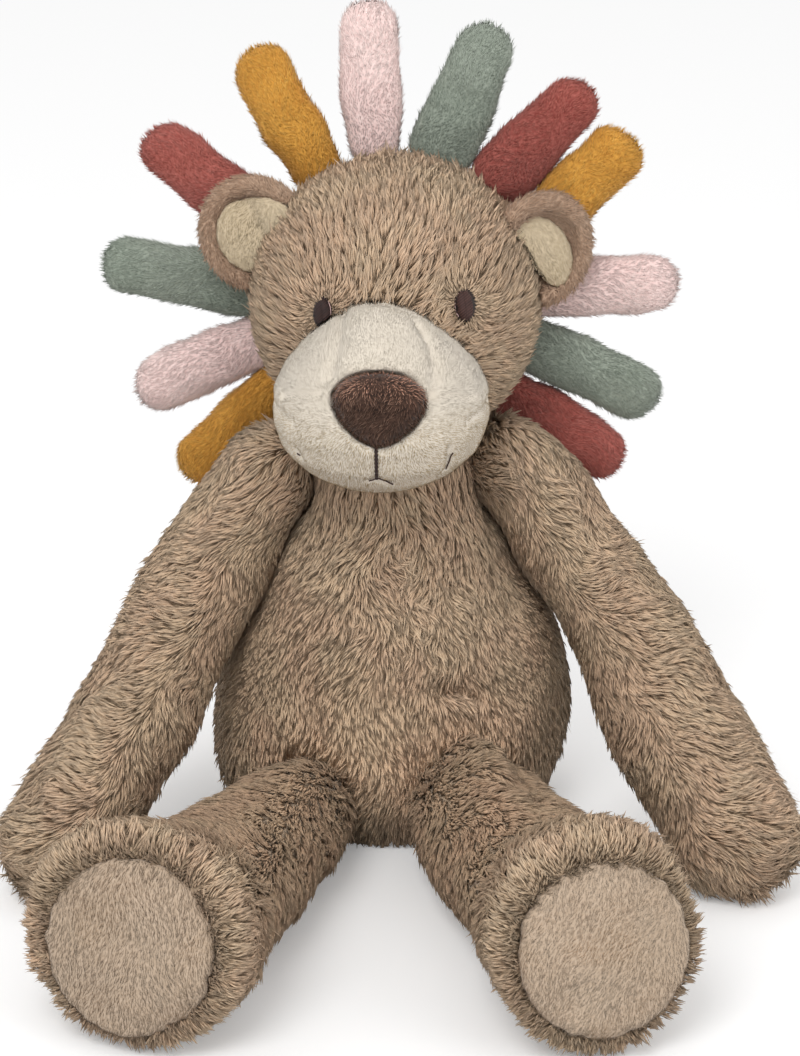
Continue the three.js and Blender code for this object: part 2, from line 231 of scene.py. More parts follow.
def pile_material(name, root, middle, tip, patch, warm, spread=0.1, streak=0.1,
                  evenness=0.65, sheen=0.25, relief=0.35):
    material, tree = new_material(name)
    along, tuft, across, painted, warmed = (
        attribute(tree, label) for label in ("tip", "tuft", "across", "shade", "warm"))
    place = add(tree, "ShaderNodeTexCoord").outputs["Object"]
    colour = ramp(tree, along, [(0.0, root), (0.5, middle), (1.0, tip)])
    colour = tinted(tree, warmed, colour, warm)
    broad = noise_at(tree, place, 1 / PATCH_SIZE, roughness=0.55)["Fac"]
    worn = tinted(tree, mapped(tree, broad, 0.0, 1.0, 0.4, 0.62), colour, patch)
    clouds = noise_at(tree, total(tree, place, CLOUD_SHIFT), 2.2 / PATCH_SIZE)["Fac"]
    lane = joined(tree, X=product(tree, across, STREAKS_ACROSS),
                  Y=product(tree, along, STREAKS_ALONG), Z=product(tree, tuft, STREAKS_APART))
    fibres = noise_at(tree, lane, 2.2)["Fac"]
    value = product(tree, mapped(tree, tuft, 1 - spread, 1 + spread),
                    mapped(tree, clouds, 0.93, 1.07, 0.35, 0.65),
                    mapped(tree, fibres, 1 - streak, 1 + streak, 0.3, 0.7), painted)
    final = mixed(tree, 1.0, worn, joined(tree, X=value, Y=value, Z=value), "MULTIPLY")
    skin = add(tree, "ShaderNodeVectorTransform", {"Vector": attribute(tree, "skin", "Vector")},
               vector_type="NORMAL", convert_from="OBJECT", convert_to="WORLD").outputs["Vector"]
    own = add(tree, "ShaderNodeNewGeometry").outputs["Normal"]
    facing = total(tree, scaled(tree, skin, evenness), scaled(tree, own, 1 - evenness))
    bump = add(tree, "ShaderNodeBump", {
        "Strength": relief, "Distance": 0.0003, "Height": fibres,
        "Normal": vectors(tree, "NORMALIZE", facing),
    })
    end_in_principled(tree, {
        "Base Color": final, "Roughness": 0.85, "Normal": bump.outputs["Normal"],
        "Specular IOR Level": 0.2, "Sheen Weight": sheen, "Sheen Roughness": 0.45,
        "Sheen Tint": linear(tip),
    })
    return material


def backing_material(name, dark, light, relief):
    """The woven backing and the crushed roots that show between locks."""
    material, tree = new_material(name)
    place = add(tree, "ShaderNodeTexCoord").outputs["Object"]
    grain = noise_at(tree, place, 1 / BACKING_GRAIN, 4.0, 0.65)["Fac"]
    broad = noise_at(tree, place, 30.0)["Fac"]
    tone = maths(tree, "ADD", product(tree, grain, 0.7), product(tree, broad, 0.3))
    bump = add(tree, "ShaderNodeBump", {"Strength": relief, "Distance": 0.0006, "Height": grain})
    end_in_principled(tree, {
        "Base Color": ramp(tree, tone, [(0.35, dark), (0.65, light)]), "Roughness": 0.95,
        "Normal": bump.outputs["Normal"], "Specular IOR Level": 0.15, "Sheen Weight": 0.25,
        "Sheen Roughness": 0.5,
    })
    return material


NO_TINT = (255, 255, 255)
PILES = {
    # name: root, middle, tip, tint of the patches, tint where the pile is painted warm
    # the taupe root is paler than its middle: painted light that lifts the shade in the gaps
    # between locks
    "taupe_fur": ((212, 184, 154), (198, 172, 143), (211, 188, 161), (255, 249, 250),
                  (255, 246, 239)),
    "sole_pile": ((168, 147, 125), (188, 168, 147), (201, 183, 164), (248, 240, 236),
                  (236, 226, 215)),
    "ear_pile": ((140, 112, 90), (190, 160, 136), (214, 188, 165), (250, 242, 238), NO_TINT),
    "cream_pile": ((214, 204, 188), (215, 205, 190), (219, 211, 197), (252, 250, 245),
                   (242, 225, 192)),
    "nose_pile": ((36, 24, 19), (92, 68, 56), (150, 124, 108), (240, 232, 230), NO_TINT),
    "mane_mustard": ((172, 116, 46), (218, 162, 73), (236, 190, 108), (249, 236, 218), NO_TINT),
    "mane_pink": ((228, 195, 190), (242, 219, 213), (248, 233, 228), (251, 244, 244), NO_TINT),
    "mane_sage": ((114, 122, 110), (158, 166, 153), (188, 195, 184), (236, 240, 237), NO_TINT),
    "mane_red": ((122, 54, 48), (176, 102, 92), (204, 138, 128), (242, 226, 220), NO_TINT),
    # the linings are the muzzle's cream, drawn darker and tanner: painted shade of the ear's cup
    "ear_lining": ((180, 163, 134), (203, 185, 157), (214, 199, 174), (246, 240, 228), NO_TINT),
}
FLEECE = {"spread": 0.13, "streak": 0.12, "evenness": 0.75, "relief": 0.2}
TEXTURES = {
    "sole_pile": {"spread": 0.04, "streak": 0.04, "evenness": 0.92, "relief": 0.1},
    "taupe_fur": {"spread": 0.1, "streak": 0.12, "evenness": 0.72},
    "nose_pile": {"spread": 0.35, "streak": 0.35, "evenness": 0.35, "sheen": 0.08},
    "cream_pile": {"spread": 0.03, "streak": 0.03, "evenness": 0.97, "relief": 0.05},
}
TEXTURES["ear_lining"] = TEXTURES["cream_pile"]
BACKINGS = {"taupe_fur": (0.78, 0.6), "ear_pile": (0.85, 0.4)}  # share of the root's colour, relief
pile = {}
backing = {}
for name, (root, middle, *tints) in PILES.items():
    pile[name] = pile_material(name + "_locks", root, middle, *tints,
                               **TEXTURES.get(name, FLEECE))
    depth, relief = BACKINGS.get(name, (1.0, 0.12))
    dark = tuple(channel * depth for channel in root)
    backing[name] = backing_material(name + "_backing", dark, middle, relief)
print("pile materials:", len(pile))

# %% [markdown]
# ## Stuffed covers
#
# A cover starts as a copy of its solid. The solid's faces are loose triangles, so they are
# merged first. A voxel remesh then spreads even, square faces over it, which lets the fabric
# bend anywhere. The cover starts a little inside its final size, and Cloth with air pressure
# inside and no gravity swells it, as stuffing does. A cap on how far each point may move keeps
# it off its neighbours. One subdivision rounds off what is left of the squares.

# %% Stuffed covers
WORDS = {-1: "right", 1: "left"}  # the toy's own sides; its right is on the -X side
TABS = [f"{number:02d}" for number in range(1, 13)]
SIZES = {
    # solid: voxel, how far the cover ends outside it, swell, all in mm; fill
    "torso": (5.0, -0.6, 1.6, 0.8), "head": (4.0, -0.6, 1.6, 0.9), "arm_*": (3.6, -1.4, 1.5, 0.7),
    "leg_*": (4.0, -0.5, 1.5, 0.7), "sole_*": (2.4, 0.4, 1.4, 0.8), "nose": (1.5, -0.5, 0.5, 0.9),
    "ear_*": (2.0, -0.1, 0.7, 0.6), "ear_lining_*": (1.2, 0.2, 0.4, 0.4),
    "muzzle": (2.0, -0.3, 1.2, 0.9), "eye_*": (0.45, 0.1, 0.2, 0.9),
    "mane_tab_*": (2.4, -0.2, 1.3, 0.7),
}
COVERS = {}
for pattern, sizes in SIZES.items():
    for word in TABS if pattern.startswith("mane") else WORDS.values():
        COVERS[pattern.replace("*", word)] = sizes
NEAR_ZERO = 1e-9


def solids_under(name):
    """The solids that a cover stands for: the muzzle's two panels share one."""
    return ("muzzle_upper", "muzzle_jaw") if name == "muzzle" else (name,)


def read(items, key, width=3):
    flat = np.empty(len(items) * width, dtype=np.float32)
    items.foreach_get(key, flat)
    return flat.reshape(-1, width).astype(np.float64)


def points_of(mesh):
    return read(mesh.vertices, "co")


def normals_of(mesh):
    return read(mesh.vertex_normals, "vector")


def set_points(mesh, points):
    mesh.vertices.foreach_set("co", np.ascontiguousarray(points, dtype=np.float32).ravel())
    mesh.update()


def new_object(name, data):
    obj = bpy.data.objects.new(name, data)
    bpy.context.scene.collection.objects.link(obj)
    return obj


def apply_modifiers(obj):
    """Puts the modifiers into the object's mesh, and takes them off."""
    obj.data = finished_mesh(obj)
    obj.data.name = obj.name


def finished_mesh(obj):
    """A new mesh, as the object's modifiers make it. The modifiers come off."""
    depsgraph = bpy.context.evaluated_depsgraph_get()
    made = bpy.data.meshes.new_from_object(
        obj.evaluated_get(depsgraph), preserve_all_data_layers=True, depsgraph=depsgraph)
    obj.modifiers.clear()
    return made


def neighbour_mean(mesh, values, rounds):
    """Evens out a value of each point with the values of the points next to it."""
    edges = np.empty(len(mesh.edges) * 2, dtype=np.int32)
    mesh.edges.foreach_get("vertices", edges)
    a, b = edges.reshape(-1, 2).T
    for _ in range(rounds):
        total_of = values.copy()
        count = np.ones(len(values))
        np.add.at(total_of, a, values[b])
        np.add.at(total_of, b, values[a])
        np.add.at(count, a, 1)
        np.add.at(count, b, 1)
        values = total_of / count
    return values


def settle(mesh, solid, outside):
    """Moves a cover until it lies a given distance outside the solid that it covers."""
    points, normals = points_of(mesh), normals_of(mesh)
    off = np.empty(len(points))
    for i, point in enumerate(points):
        near, facing, _, _ = solid.find_nearest(Vector(point))
        off[i] = (Vector(point) - near).dot(facing)
    step = neighbour_mean(mesh, outside * MM - off, 3)
    set_points(mesh, points + normals * step[:, None])


def remeshed(name, voxel, outside):
    mesh = bpy.data.meshes.new(name + "_cover")
    shape = bmesh.new()
    for node in solids_under(name):
        shape.from_mesh(frame["nodes"][node].data)
    bmesh.ops.remove_doubles(shape, verts=shape.verts, dist=1e-5)
    solid = BVHTree.FromBMesh(shape)
    shape.to_mesh(mesh)
    shape.free()
    obj = new_object(name + "_cover", mesh)
    squares = obj.modifiers.new("even squares", "REMESH")
    squares.mode = "VOXEL"
    squares.voxel_size = voxel * MM
    squares.use_smooth_shade = True
    soften = obj.modifiers.new("soften", "SMOOTH")
    soften.factor = 0.5
    soften.iterations = 4
    apply_modifiers(obj)
    settle(obj.data, solid, outside)
    return obj


covers = {}
for name, (voxel, outside, cap, _) in COVERS.items():
    covers[name] = remeshed(name, voxel, outside - cap)
print("covers:", len(covers), "points:", sum(len(o.data.vertices) for o in covers.values()))

# %% [markdown]
# ## Swelling the covers
#
# All covers swell in the same twenty frames. Pressure pushes every face out and the stretch of
# the fabric pulls back, so broad places crown and edges stay drawn in. Then each cover is let out
# evenly, along its normals, until it is as large on average as it was meant to be.

# %% Swell the covers
SWELL_FRAMES = 20
SWOLLEN_SHARE = 0.9  # of the cap, which the cover moves on average
FABRIC = {
    "use_pressure": True, "uniform_pressure_force": 4.0, "quality": 4, "mass": 0.25,
    "tension_stiffness": 12, "compression_stiffness": 8, "shear_stiffness": 5,
    "bending_stiffness": 0.4,
}


def swell(objects):
    for obj in objects:
        cloth = obj.modifiers.new("stuffing", "CLOTH")
        for key, value in FABRIC.items():
            setattr(cloth.settings, key, value)
        cloth.settings.effector_weights.gravity = 0
        cloth.collision_settings.use_collision = False
        cloth.point_cache.frame_start = 1
        cloth.point_cache.frame_end = SWELL_FRAMES
    for step in range(1, SWELL_FRAMES + 1):
        bpy.context.scene.frame_set(step)
    depsgraph = bpy.context.evaluated_depsgraph_get()
    swollen = [points_of(obj.evaluated_get(depsgraph).data) for obj in objects]
    for obj in objects:
        obj.modifiers.clear()
    bpy.context.scene.frame_set(1)
    return swollen


def capped(before, after, cap):
    """Moves each point towards its swollen place, by no more than the cap."""
    step = after - before
    length = np.linalg.norm(step, axis=1, keepdims=True)
    return before + step * np.minimum(1.0, cap * MM / np.maximum(length, NEAR_ZERO))


caps = [cap for _, _, cap, _ in COVERS.values()]
swollen = swell(list(covers.values()))
for name, after, cap in zip(covers, swollen, caps):
    obj = covers[name]
    before, normals = points_of(obj.data), normals_of(obj.data)
    moved = capped(before, after, cap)
    # the fabric is let out evenly, so that its mean lies where the cover is meant to end
    outward = ((moved - before) * normals).sum(axis=1).mean()
    moved += normals * (SWOLLEN_SHARE * cap * MM - outward)
    set_points(obj.data, moved)
    rounder = obj.modifiers.new("rounder", "SUBSURF")
    rounder.levels = rounder.render_levels = 1
    apply_modifiers(obj)
    if name in ("torso", "head", "nose"):
        travel = np.linalg.norm(moved - before, axis=1) / MM
        print(name, "swelled by mm, mean and most:", travel.mean().round(2), travel.max().round(2))

# %% [markdown]
# ## One lock of fur
#
# Fur is not drawn hair by hair. Fibres cling together in flat, pointed locks about half a
# millimetre wide, and a lock is a closed shape with only four faces. A long lock is a blade that
# is bent once, from a root that is a point. A short lock is a spike, whose broad root lies under
# the skin. Each is made once, one unit long, and placed thousands of times. It carries what its
# material reads: how far along it a point is, how far across, and a small map of its own.

# %% Locks of fur
ROOT_DEPTH = 0.12  # how far a lock starts under the backing, in lock lengths
ROOT_SUNK = 0.09  # how far the middle of a short lock's root lies under the skin


def lock_object(name, verts, faces, places):
    mesh = bpy.data.meshes.new(name)
    mesh.from_pydata(verts, [], faces)
    for label, values in (("tip", [min(1.0, max(0.0, x)) for x, _, _ in verts]),
                          ("across", [float(np.sign(y)) for _, y, _ in verts])):
        mesh.attributes.new(label, "FLOAT", "POINT").data.foreach_set("value", values)
    layer = mesh.uv_layers.new(name="OFBake")
    layer.data.foreach_set("uv", [number for place in places for number in place])
    shape = bmesh.new()
    shape.from_mesh(mesh)
    bmesh.ops.recalc_face_normals(shape, faces=shape.faces)
    shape.to_mesh(mesh)
    shape.free()
    return bpy.data.objects.new(name, mesh)


def long_lock(name, bend_at, bend_up, tip_at, tip_up):
    verts = [(-ROOT_DEPTH, 0, 0.0), (bend_at, -0.5, bend_up), (bend_at, 0.5, bend_up),
             (tip_at, 0, tip_up)]
    faces = [(0, 1, 2), (1, 3, 2), (0, 3, 1), (0, 2, 3)]
    map_of = [(0.5, 0.0), (0.0, bend_at), (1.0, bend_at), (0.5, tip_at)]
    return lock_object(name, verts, faces, [map_of[corner] for face in faces for corner in face])


def short_lock(name, tip_up):
    verts = [(-ROOT_DEPTH, side / 2, -ROOT_SUNK + up)
             for side, up in ((-1, -0.035), (0, 0.07), (1, -0.035))] + [(1.0, 0, tip_up)]
    faces, places = [(0, 1, 2)], [(0, 0), (0.33, 0), (0.66, 0)]
    for k in range(3):
        faces.append(((k + 1) % 3, k, 3))
        places += [((k + 1) / 3, 0.0), (k / 3, 0.0), ((k + 0.5) / 3, 1.0)]
    return lock_object(name, verts, faces, places)


def lock_family(name, make, shapes):
    family = bpy.data.collections.new(name)
    for number, shape in enumerate(shapes):
        family.objects.link(make(f"{name}_{number}", *shape))
    return family


long_locks = lock_family("long_locks", long_lock, [
    # where it bends and how far up, then the same of its tip
    (0.62, 0.06, 1.0, 0.0), (0.56, 0.03, 1.0, 0.04), (0.50, 0.09, 0.97, -0.03)])
short_locks = lock_family("short_locks", short_lock, [(0.06,), (0.0,)])

# %% [markdown]
# ## Combing the pile with Geometry Nodes
#
# One tree makes every pile on the toy. Points are spread evenly over a cover. A second, sparser
# set of points stands for the places where locks gather. Each lock starts at its own point,
# follows the comb direction that is painted on the cover, leans out from the skin, and is drawn
# a little towards the nearest gathering place, which opens the dark gaps that real fur has.
# Everything that differs between fabrics is a named input.

# %% The pile tree
RANDOM_SOCKETS = {"FLOAT_VECTOR": (0, 0), "FLOAT": (2, 1), "INT": (4, 2)}  # first in, out
MOST_POINTS = 2.2  # tried in a square as wide as the distance between points
MAP_MARGIN = 0.1  # round each lock's own square of the map


def group_inputs(tree, wanted):
    for way in ("INPUT", "OUTPUT"):
        tree.interface.new_socket("Geometry", in_out=way, socket_type="NodeSocketGeometry")
    for kind, labels in wanted.items():
        for label in labels:
            tree.interface.new_socket(label, in_out="INPUT", socket_type="NodeSocket" + kind)
    return add(tree, "NodeGroupInput").outputs


def named(tree, label, kind="FLOAT"):
    return add(tree, "GeometryNodeInputNamedAttribute", {"Name": label},
               data_type=kind).outputs["Attribute"]


def stored(tree, geometry, label, value, kind="FLOAT", domain="INSTANCE"):
    return add(tree, "GeometryNodeStoreNamedAttribute", {
        "Geometry": geometry, "Name": label, "Value": value,
    }, data_type=kind, domain=domain).outputs["Geometry"]


def drawn(tree, seed, salt, low, high, kind="FLOAT"):
    """A random value between two others. The salt keeps one kind of draw from the next."""
    first, result = RANDOM_SOCKETS[kind]
    return add(tree, "FunctionNodeRandomValue", {
        first: low, first + 1: high, "Seed": maths(tree, "ADD", seed, float(salt)),
    }, data_type=kind).outputs[result]


def end_smooth(tree, geometry, material):
    smooth = add(tree, "GeometryNodeSetShadeSmooth", {0: geometry}).outputs[0]
    shown = add(tree, "GeometryNodeSetMaterial", {"Geometry": smooth, "Material": material})
    add(tree, "NodeGroupOutput", {"Geometry": shown.outputs["Geometry"]})


def sockets_of(tree):
    return {item.name: item.identifier for item in tree.interface.items_tree
            if item.in_out == "INPUT"}


def pile_tree():
    tree = bpy.data.node_groups.new("combed pile", "GeometryNodeTree")
    given = group_inputs(tree, {
        "Float": ("Spacing", "Length", "Width", "Lift", "Wander", "Wander Size", "Stray",
                  "Gather Size", "Gather Pull", "Floor"),
        "Int": ("Seed",), "Collection": ("Locks",), "Material": ("Material",),
    })
    seed = given["Seed"]

    def spread(distance, seed):
        most = maths(tree, "DIVIDE", MOST_POINTS, product(tree, distance, distance))
        return add(tree, "GeometryNodeDistributePointsOnFaces", {
            "Mesh": given["Geometry"], "Distance Min": distance, "Density Max": most,
            "Density Factor": named(tree, "thick"), "Seed": seed,
        }, distribute_method="POISSON").outputs

    roots = spread(given["Spacing"], seed)
    gathers = spread(given["Gather Size"], maths(tree, "ADD", seed, 11.0))["Points"]
    skin_normal = roots["Normal"]
    place = add(tree, "GeometryNodeInputPosition").outputs["Position"]
    nearest = add(tree, "GeometryNodeSampleNearest", {
        "Geometry": gathers, "Sample Position": place,
    }, domain="POINT").outputs["Index"]
    gather_place = add(tree, "GeometryNodeSampleIndex", {
        "Geometry": gathers, "Value": place, "Index": nearest,
    }, data_type="FLOAT_VECTOR", domain="POINT").outputs["Value"]
    pull = scaled(tree, vectors(tree, "SUBTRACT", gather_place, place),
                  maths(tree, "DIVIDE", given["Gather Pull"], given["Gather Size"]))
    wander = noise_at(tree, place, maths(tree, "DIVIDE", 1.0, given["Wander Size"]))["Color"]
    wander = scaled(tree, vectors(tree, "SUBTRACT", wander, (0.5, 0.5, 0.5)), given["Wander"])
    stray = drawn(tree, seed, 5, (-1, -1, -1), (1, 1, 1), "FLOAT_VECTOR")
    comb = total(tree, named(tree, "comb", "FLOAT_VECTOR"), wander,
                 scaled(tree, stray, given["Stray"]), pull)
    inward = scaled(tree, skin_normal, vectors(tree, "DOT_PRODUCT", comb, skin_normal))
    lift = product(tree, given["Lift"], named(tree, "lift"), drawn(tree, seed, 2, 0.4, 1.6))
    way = total(tree, vectors(tree, "SUBTRACT", comb, inward), scaled(tree, skin_normal, lift))
    turn = add(tree, "FunctionNodeAxesToRotation", {
        "Primary Axis": way, "Secondary Axis": skin_normal,
    }, primary_axis="X", secondary_axis="Z").outputs["Rotation"]
    length = product(tree, given["Length"], named(tree, "pile"), drawn(tree, seed, 3, 0.6, 1.2))
    width = product(tree, given["Width"], drawn(tree, seed, 4, 0.7, 1.3))
    family = add(tree, "GeometryNodeCollectionInfo", {
        "Collection": given["Locks"], "Separate Children": True, "Reset Children": True,
    }).outputs["Instances"]
    locks = add(tree, "GeometryNodeInstanceOnPoints", {
        "Points": roots["Points"], "Instance": family, "Pick Instance": True,
        "Instance Index": drawn(tree, seed, 7, 0, 2, "INT"), "Rotation": turn,
        "Scale": joined(tree, X=length, Y=width, Z=length),
    }).outputs["Instances"]
    locks = stored(tree, locks, "tuft", drawn(tree, seed, 6, 0.0, 1.0))
    locks = stored(tree, locks, "cell", add(tree, "GeometryNodeInputIndex").outputs["Index"])
    locks = stored(tree, locks, "skin", skin_normal, "FLOAT_VECTOR")
    count = add(tree, "GeometryNodeAttributeDomainSize", {"Geometry": locks},
                component="INSTANCES").outputs["Instance Count"]
    plain = add(tree, "GeometryNodeRealizeInstances", {"Geometry": locks}).outputs["Geometry"]
    # each lock gets a small square of the map to itself
    side = maths(tree, "CEIL", maths(tree, "SQRT", count))
    cell = named(tree, "cell")
    row = maths(tree, "FLOOR", maths(tree, "DIVIDE", cell, side))
    column = maths(tree, "SUBTRACT", cell, product(tree, row, side))
    inner = scaled(tree, named(tree, "OFBake", "FLOAT_VECTOR"), 1 - 2 * MAP_MARGIN)
    inner = total(tree, inner, (MAP_MARGIN, MAP_MARGIN, 0.0), joined(tree, X=column, Y=row))
    atlas = stored(tree, plain, "OFBake", scaled(tree, inner, maths(tree, "DIVIDE", 1.0, side)),
                   "FLOAT2", "CORNER")
    # what would reach under the floor lies flat on it
    parts = add(tree, "ShaderNodeSeparateXYZ", {"Vector": place}).outputs
    above = maths(tree, "MAXIMUM", parts["Z"], given["Floor"])
    pressed = add(tree, "GeometryNodeSetPosition", {
        "Geometry": atlas, "Position": joined(tree, X=parts["X"], Y=parts["Y"], Z=above),
    }).outputs["Geometry"]
    end_smooth(tree, pressed, given["Material"])
    return tree


PILE_TREE = pile_tree()
PILE_SOCKETS = sockets_of(PILE_TREE)
print("pile tree nodes:", len(PILE_TREE.nodes))

# %% [markdown]
# ## Painting the comb and growing the pile
#
# Before the tree runs, a few values are painted on each point of a cover: the comb direction,
# how thick the pile stands there, how long it is, how far it lifts, its brightness, which carries
# painted light and shade, and how warm. The result of the tree becomes a plain mesh of its own,
# so the fur can be exported, and the modifier comes off.

# %% Paint and grow
FLOOR = 0.0002  # nothing of the toy goes lower, in metres
triangles_made = {}


def unit(vectors_in):
    """Each row of an array as a vector one unit long."""
    return vectors_in / np.maximum(np.linalg.norm(vectors_in, axis=1, keepdims=True), NEAR_ZERO)


def paint(obj, comb, thick=1.0, pile_length=1.0, lift=1.0, shade=1.0, warm=0.0):
    mesh = obj.data
    for label, values in (("thick", thick), ("pile", pile_length), ("lift", lift),
                          ("shade", shade), ("warm", warm)):
        layer = mesh.attributes.get(label) or mesh.attributes.new(label, "FLOAT", "POINT")
        flat = np.broadcast_to(np.asarray(values, dtype=np.float32), (len(mesh.vertices),))
        layer.data.foreach_set("value", np.ascontiguousarray(flat))
    layer = mesh.attributes.get("comb") or mesh.attributes.new("comb", "FLOAT_VECTOR", "POINT")
    layer.data.foreach_set("vector", np.ascontiguousarray(unit(comb), dtype=np.float32).ravel())


def count_triangles(obj, *words):
    triangles_made[obj.name] = sum(len(face.vertices) - 2 for face in obj.data.polygons)
    print(f"{obj.name}:", *words, triangles_made[obj.name], "triangles")


LONG = {"Spacing": 0.5, "Length": 7.6, "Width": 0.54, "Lift": 0.2, "Wander": 0.75,
        "Wander Size": 8.0, "Stray": 0.12, "Gather Size": 2.7, "Gather Pull": 0.34,
        "Locks": long_locks}
SHORT = {"Spacing": 0.68, "Length": 2.1, "Width": 0.5, "Lift": 0.34, "Wander": 0.7,
         "Wander Size": 6.0, "Stray": 0.2, "Gather Size": 1.8, "Gather Pull": 0.25,
         "Locks": short_locks}
UNSEEN_SPACING = 0.58  # of the long fur on the back and the nape
LENGTHS = ("Spacing", "Length", "Width", "Wander Size", "Gather Size")


def grow(cover, name, finish, body, settings, seed, look=None, **changes):
    modifier = cover.modifiers.new("pile", "NODES")
    modifier.node_group = PILE_TREE
    values = {**settings, **changes, "Seed": seed, "Material": pile[look or finish],
              "Floor": FLOOR}
    for label, value in values.items():
        modifier[PILE_SOCKETS[label]] = value * MM if label in LENGTHS else value
    mesh = finished_mesh(cover)
    mesh.name = name
    for extra in ("comb", "thick", "pile", "lift", "cell"):
        if extra in mesh.attributes:
            mesh.attributes.remove(mesh.attributes[extra])
    fur = new_object(name, mesh)
    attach(fur, body)
    count_triangles(fur)


def dress(name, finish, body, look=None):
    """Finishes a cover: its backing, its body and its solid."""
    cover = covers[name]
    points = points_of(cover.data)
    points[:, 2] = np.maximum(points[:, 2], FLOOR)
    set_points(cover.data, points)
    cover.data.materials.clear()
    cover.data.materials.append(backing[look or finish])
    cover.data.polygons.foreach_set("use_smooth", [True] * len(cover.data.polygons))
    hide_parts(*solids_under(name))
    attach(cover, body)
    count_triangles(cover)


def soft_step(value, start, end):
    share = np.clip((value - start) / (end - start), 0.0, 1.0)
    return share * share * (3 - 2 * share)


def distance_to(points, place):
    return np.linalg.norm(points - np.array(place), axis=1)


def blob(distance, size):
    """1 at no distance, which fades out over the size."""
    return np.exp(-(distance / size) ** 2)


def surface_of(obj):
    """The points of a cover, in mm, and its normals there."""
    return points_of(obj.data) / MM, normals_of(obj.data)


def swirled(points, normals, comb, size, most, seed):
    """Turns the comb about the skin by broad noise, as handling leaves it."""
    comb = unit(comb)
    shift = Vector((seed * 7.3, seed * 3.1, seed * 5.7))
    turns = np.array([noise.noise(Vector(point) / size + shift) for point in points])
    turns = math.radians(most) * np.clip(turns * 2, -1, 1)[:, None]
    return comb * np.cos(turns) + np.cross(normals, comb) * np.sin(turns)


def distance_to_path(points, path):
    best = np.full(len(points), np.inf)
    for a, b in zip(path[:-1], path[1:]):
        span = b - a
        share = np.clip((points - a) @ span / (span @ span), 0, 1)[:, None]
        best = np.minimum(best, np.linalg.norm(points - (a + share * span), axis=1))
    return best


def push_out(obj, push):
    """Moves the points of a cover out by push mm, each along its own normal."""
    points, normals = surface_of(obj)
    set_points(obj.data, (points + normals * push[:, None]) * MM)


def crease(obj, path, width, depth):
    """Presses a soft groove into a cover along a path, all in mm."""
    push_out(obj, -depth * blob(distance_to_path(points_of(obj.data) / MM, path), width))


def bulge(obj, push):
    """Moves a cover out by push mm, evened out from point to point."""
    push_out(obj, neighbour_mean(obj.data, push, 4))


def lumps(points, size, seed):
    """Broad noise from -1 to 1, for the small unevenness of hand stuffing."""
    shift = Vector((seed * 2.3, seed * 5.9, seed * 4.1))
    return np.array([noise.noise(Vector(point) / size + shift) for point in points]) * 1.6


def skin_of(*objects):
    """The faces of one or more objects, for rays and distances."""
    verts, faces = [], []
    for obj in objects:
        faces += [tuple(i + len(verts) for i in face.vertices) for face in obj.data.polygons]
        verts += [v.co.copy() for v in obj.data.vertices]
    return BVHTree.FromPolygons(verts, faces)


def gaps_to(skin, points):
    """How far each point lies from a skin, in mm."""
    return np.array([skin.find_nearest(Vector(point * MM))[3] for point in points]) / MM


def seen_on(skin, pixels):
    """The points of a skin, in mm, that the camera sees at some pixels of the picture."""
    hits = [skin.ray_cast(eye_point, ray_through(*pixel)) for pixel in pixels]
    return np.array([hit[0] for hit in hits if hit[0] is not None]) / MM


# %% [markdown]
# ## Torso
#
# The fur of the body is combed down, and leans out to each side from the middle of the belly.
# Belly, chest and back are three pieces of fur on one cover, so no mesh gets too heavy.

# %% Torso fur
FOLD_PLACE, MESSY_PLACE = (456, 690), (400, 590)  # in the picture
torso = covers["torso"]
skin = skin_of(torso)
for path, width, depth in (
    ([(440, 690), (456, 688), (472, 693)], 3.0, 2.6),
    ([(372, 560), (392, 590), (398, 620)], 4.0, 1.2),
    ([(352, 520), (356, 545)], 3.0, 1.0),
):
    crease(torso, seen_on(skin, path), width, depth)
p, n = surface_of(torso)
shoulders = sum(blob(distance_to(p, (side * 33, -5, 137)), 13) for side in WORDS)
low = 1 - soft_step(p[:, 2], 70, 95)
sides = (3.2 * soft_step(-p[:, 0], 40, 55) * low
         + soft_step(p[:, 0], 35, 52) * (5.4 * soft_step(p[:, 2], 20, 60) - 1.6))
bulge(torso, 4.0 * shoulders + sides + 0.8 * lumps(p, 22, 3))
p, n = surface_of(torso)
lean = np.where(p[:, 0] < 0, 0.5, 0.15) * p[:, 0] / 60
comb = np.stack([lean, np.zeros(len(p)), -np.ones(len(p))], axis=1)
messy, fold = (blob(distance_to(p, seen_on(skin, [place])[0]), size)[:, None]
               for place, size in ((MESSY_PLACE, 22), (FOLD_PLACE, 9)))
messy = np.maximum(messy, fold)
comb = swirled(p, n, comb, 26, 26, 1) * (1 - messy) + swirled(p, n, comb, 9, 90, 2) * messy
above_floor = soft_step(p[:, 2], 0.5, 3.0)
front = soft_step(-p[:, 1], -16, -13)
beside_arm = soft_step(np.abs(p[:, 0]), 30, 46) * soft_step(p[:, 2], 40, 60)
# painted shade on the sides and low between the legs, and painted light on the lower belly, where
# the legs shade it
shade = 1 - 0.22 * soft_step(np.abs(n[:, 0]), 0.72, 0.98)
shade *= 1 + 0.4 * soft_step(-p[:, 2], -66, -32) * (1 - soft_step(np.abs(n[:, 0]), 0.4, 0.8))
shade *= 1 - 0.6 * soft_step(-p[:, 2], -27, -8) * (1 - soft_step(np.abs(p[:, 0]), 22, 40))
dress("torso", "taupe_fur", "torso")
high = soft_step(p[:, 2], 78, 80)
for part, share in (("belly", front * (1 - high)), ("chest", front * high), ("back", 1 - front)):
    paint(torso, comb, thick=np.maximum(above_floor, 0.15) * share,
          pile_length=0.92 - 0.3 * beside_arm * front, lift=1 - 0.3 * beside_arm, shade=shade)
    grow(torso, f"torso_fur_{part}", "taupe_fur", "torso", LONG, seed=1,
         Spacing=UNSEEN_SPACING if part == "back" else LONG["Spacing"])

# %% [markdown]
# ## Head
#
# On the head the fur starts at the muzzle and spreads up, out and back from it. Round each eye
# it is clipped short and turned away from the stitching.

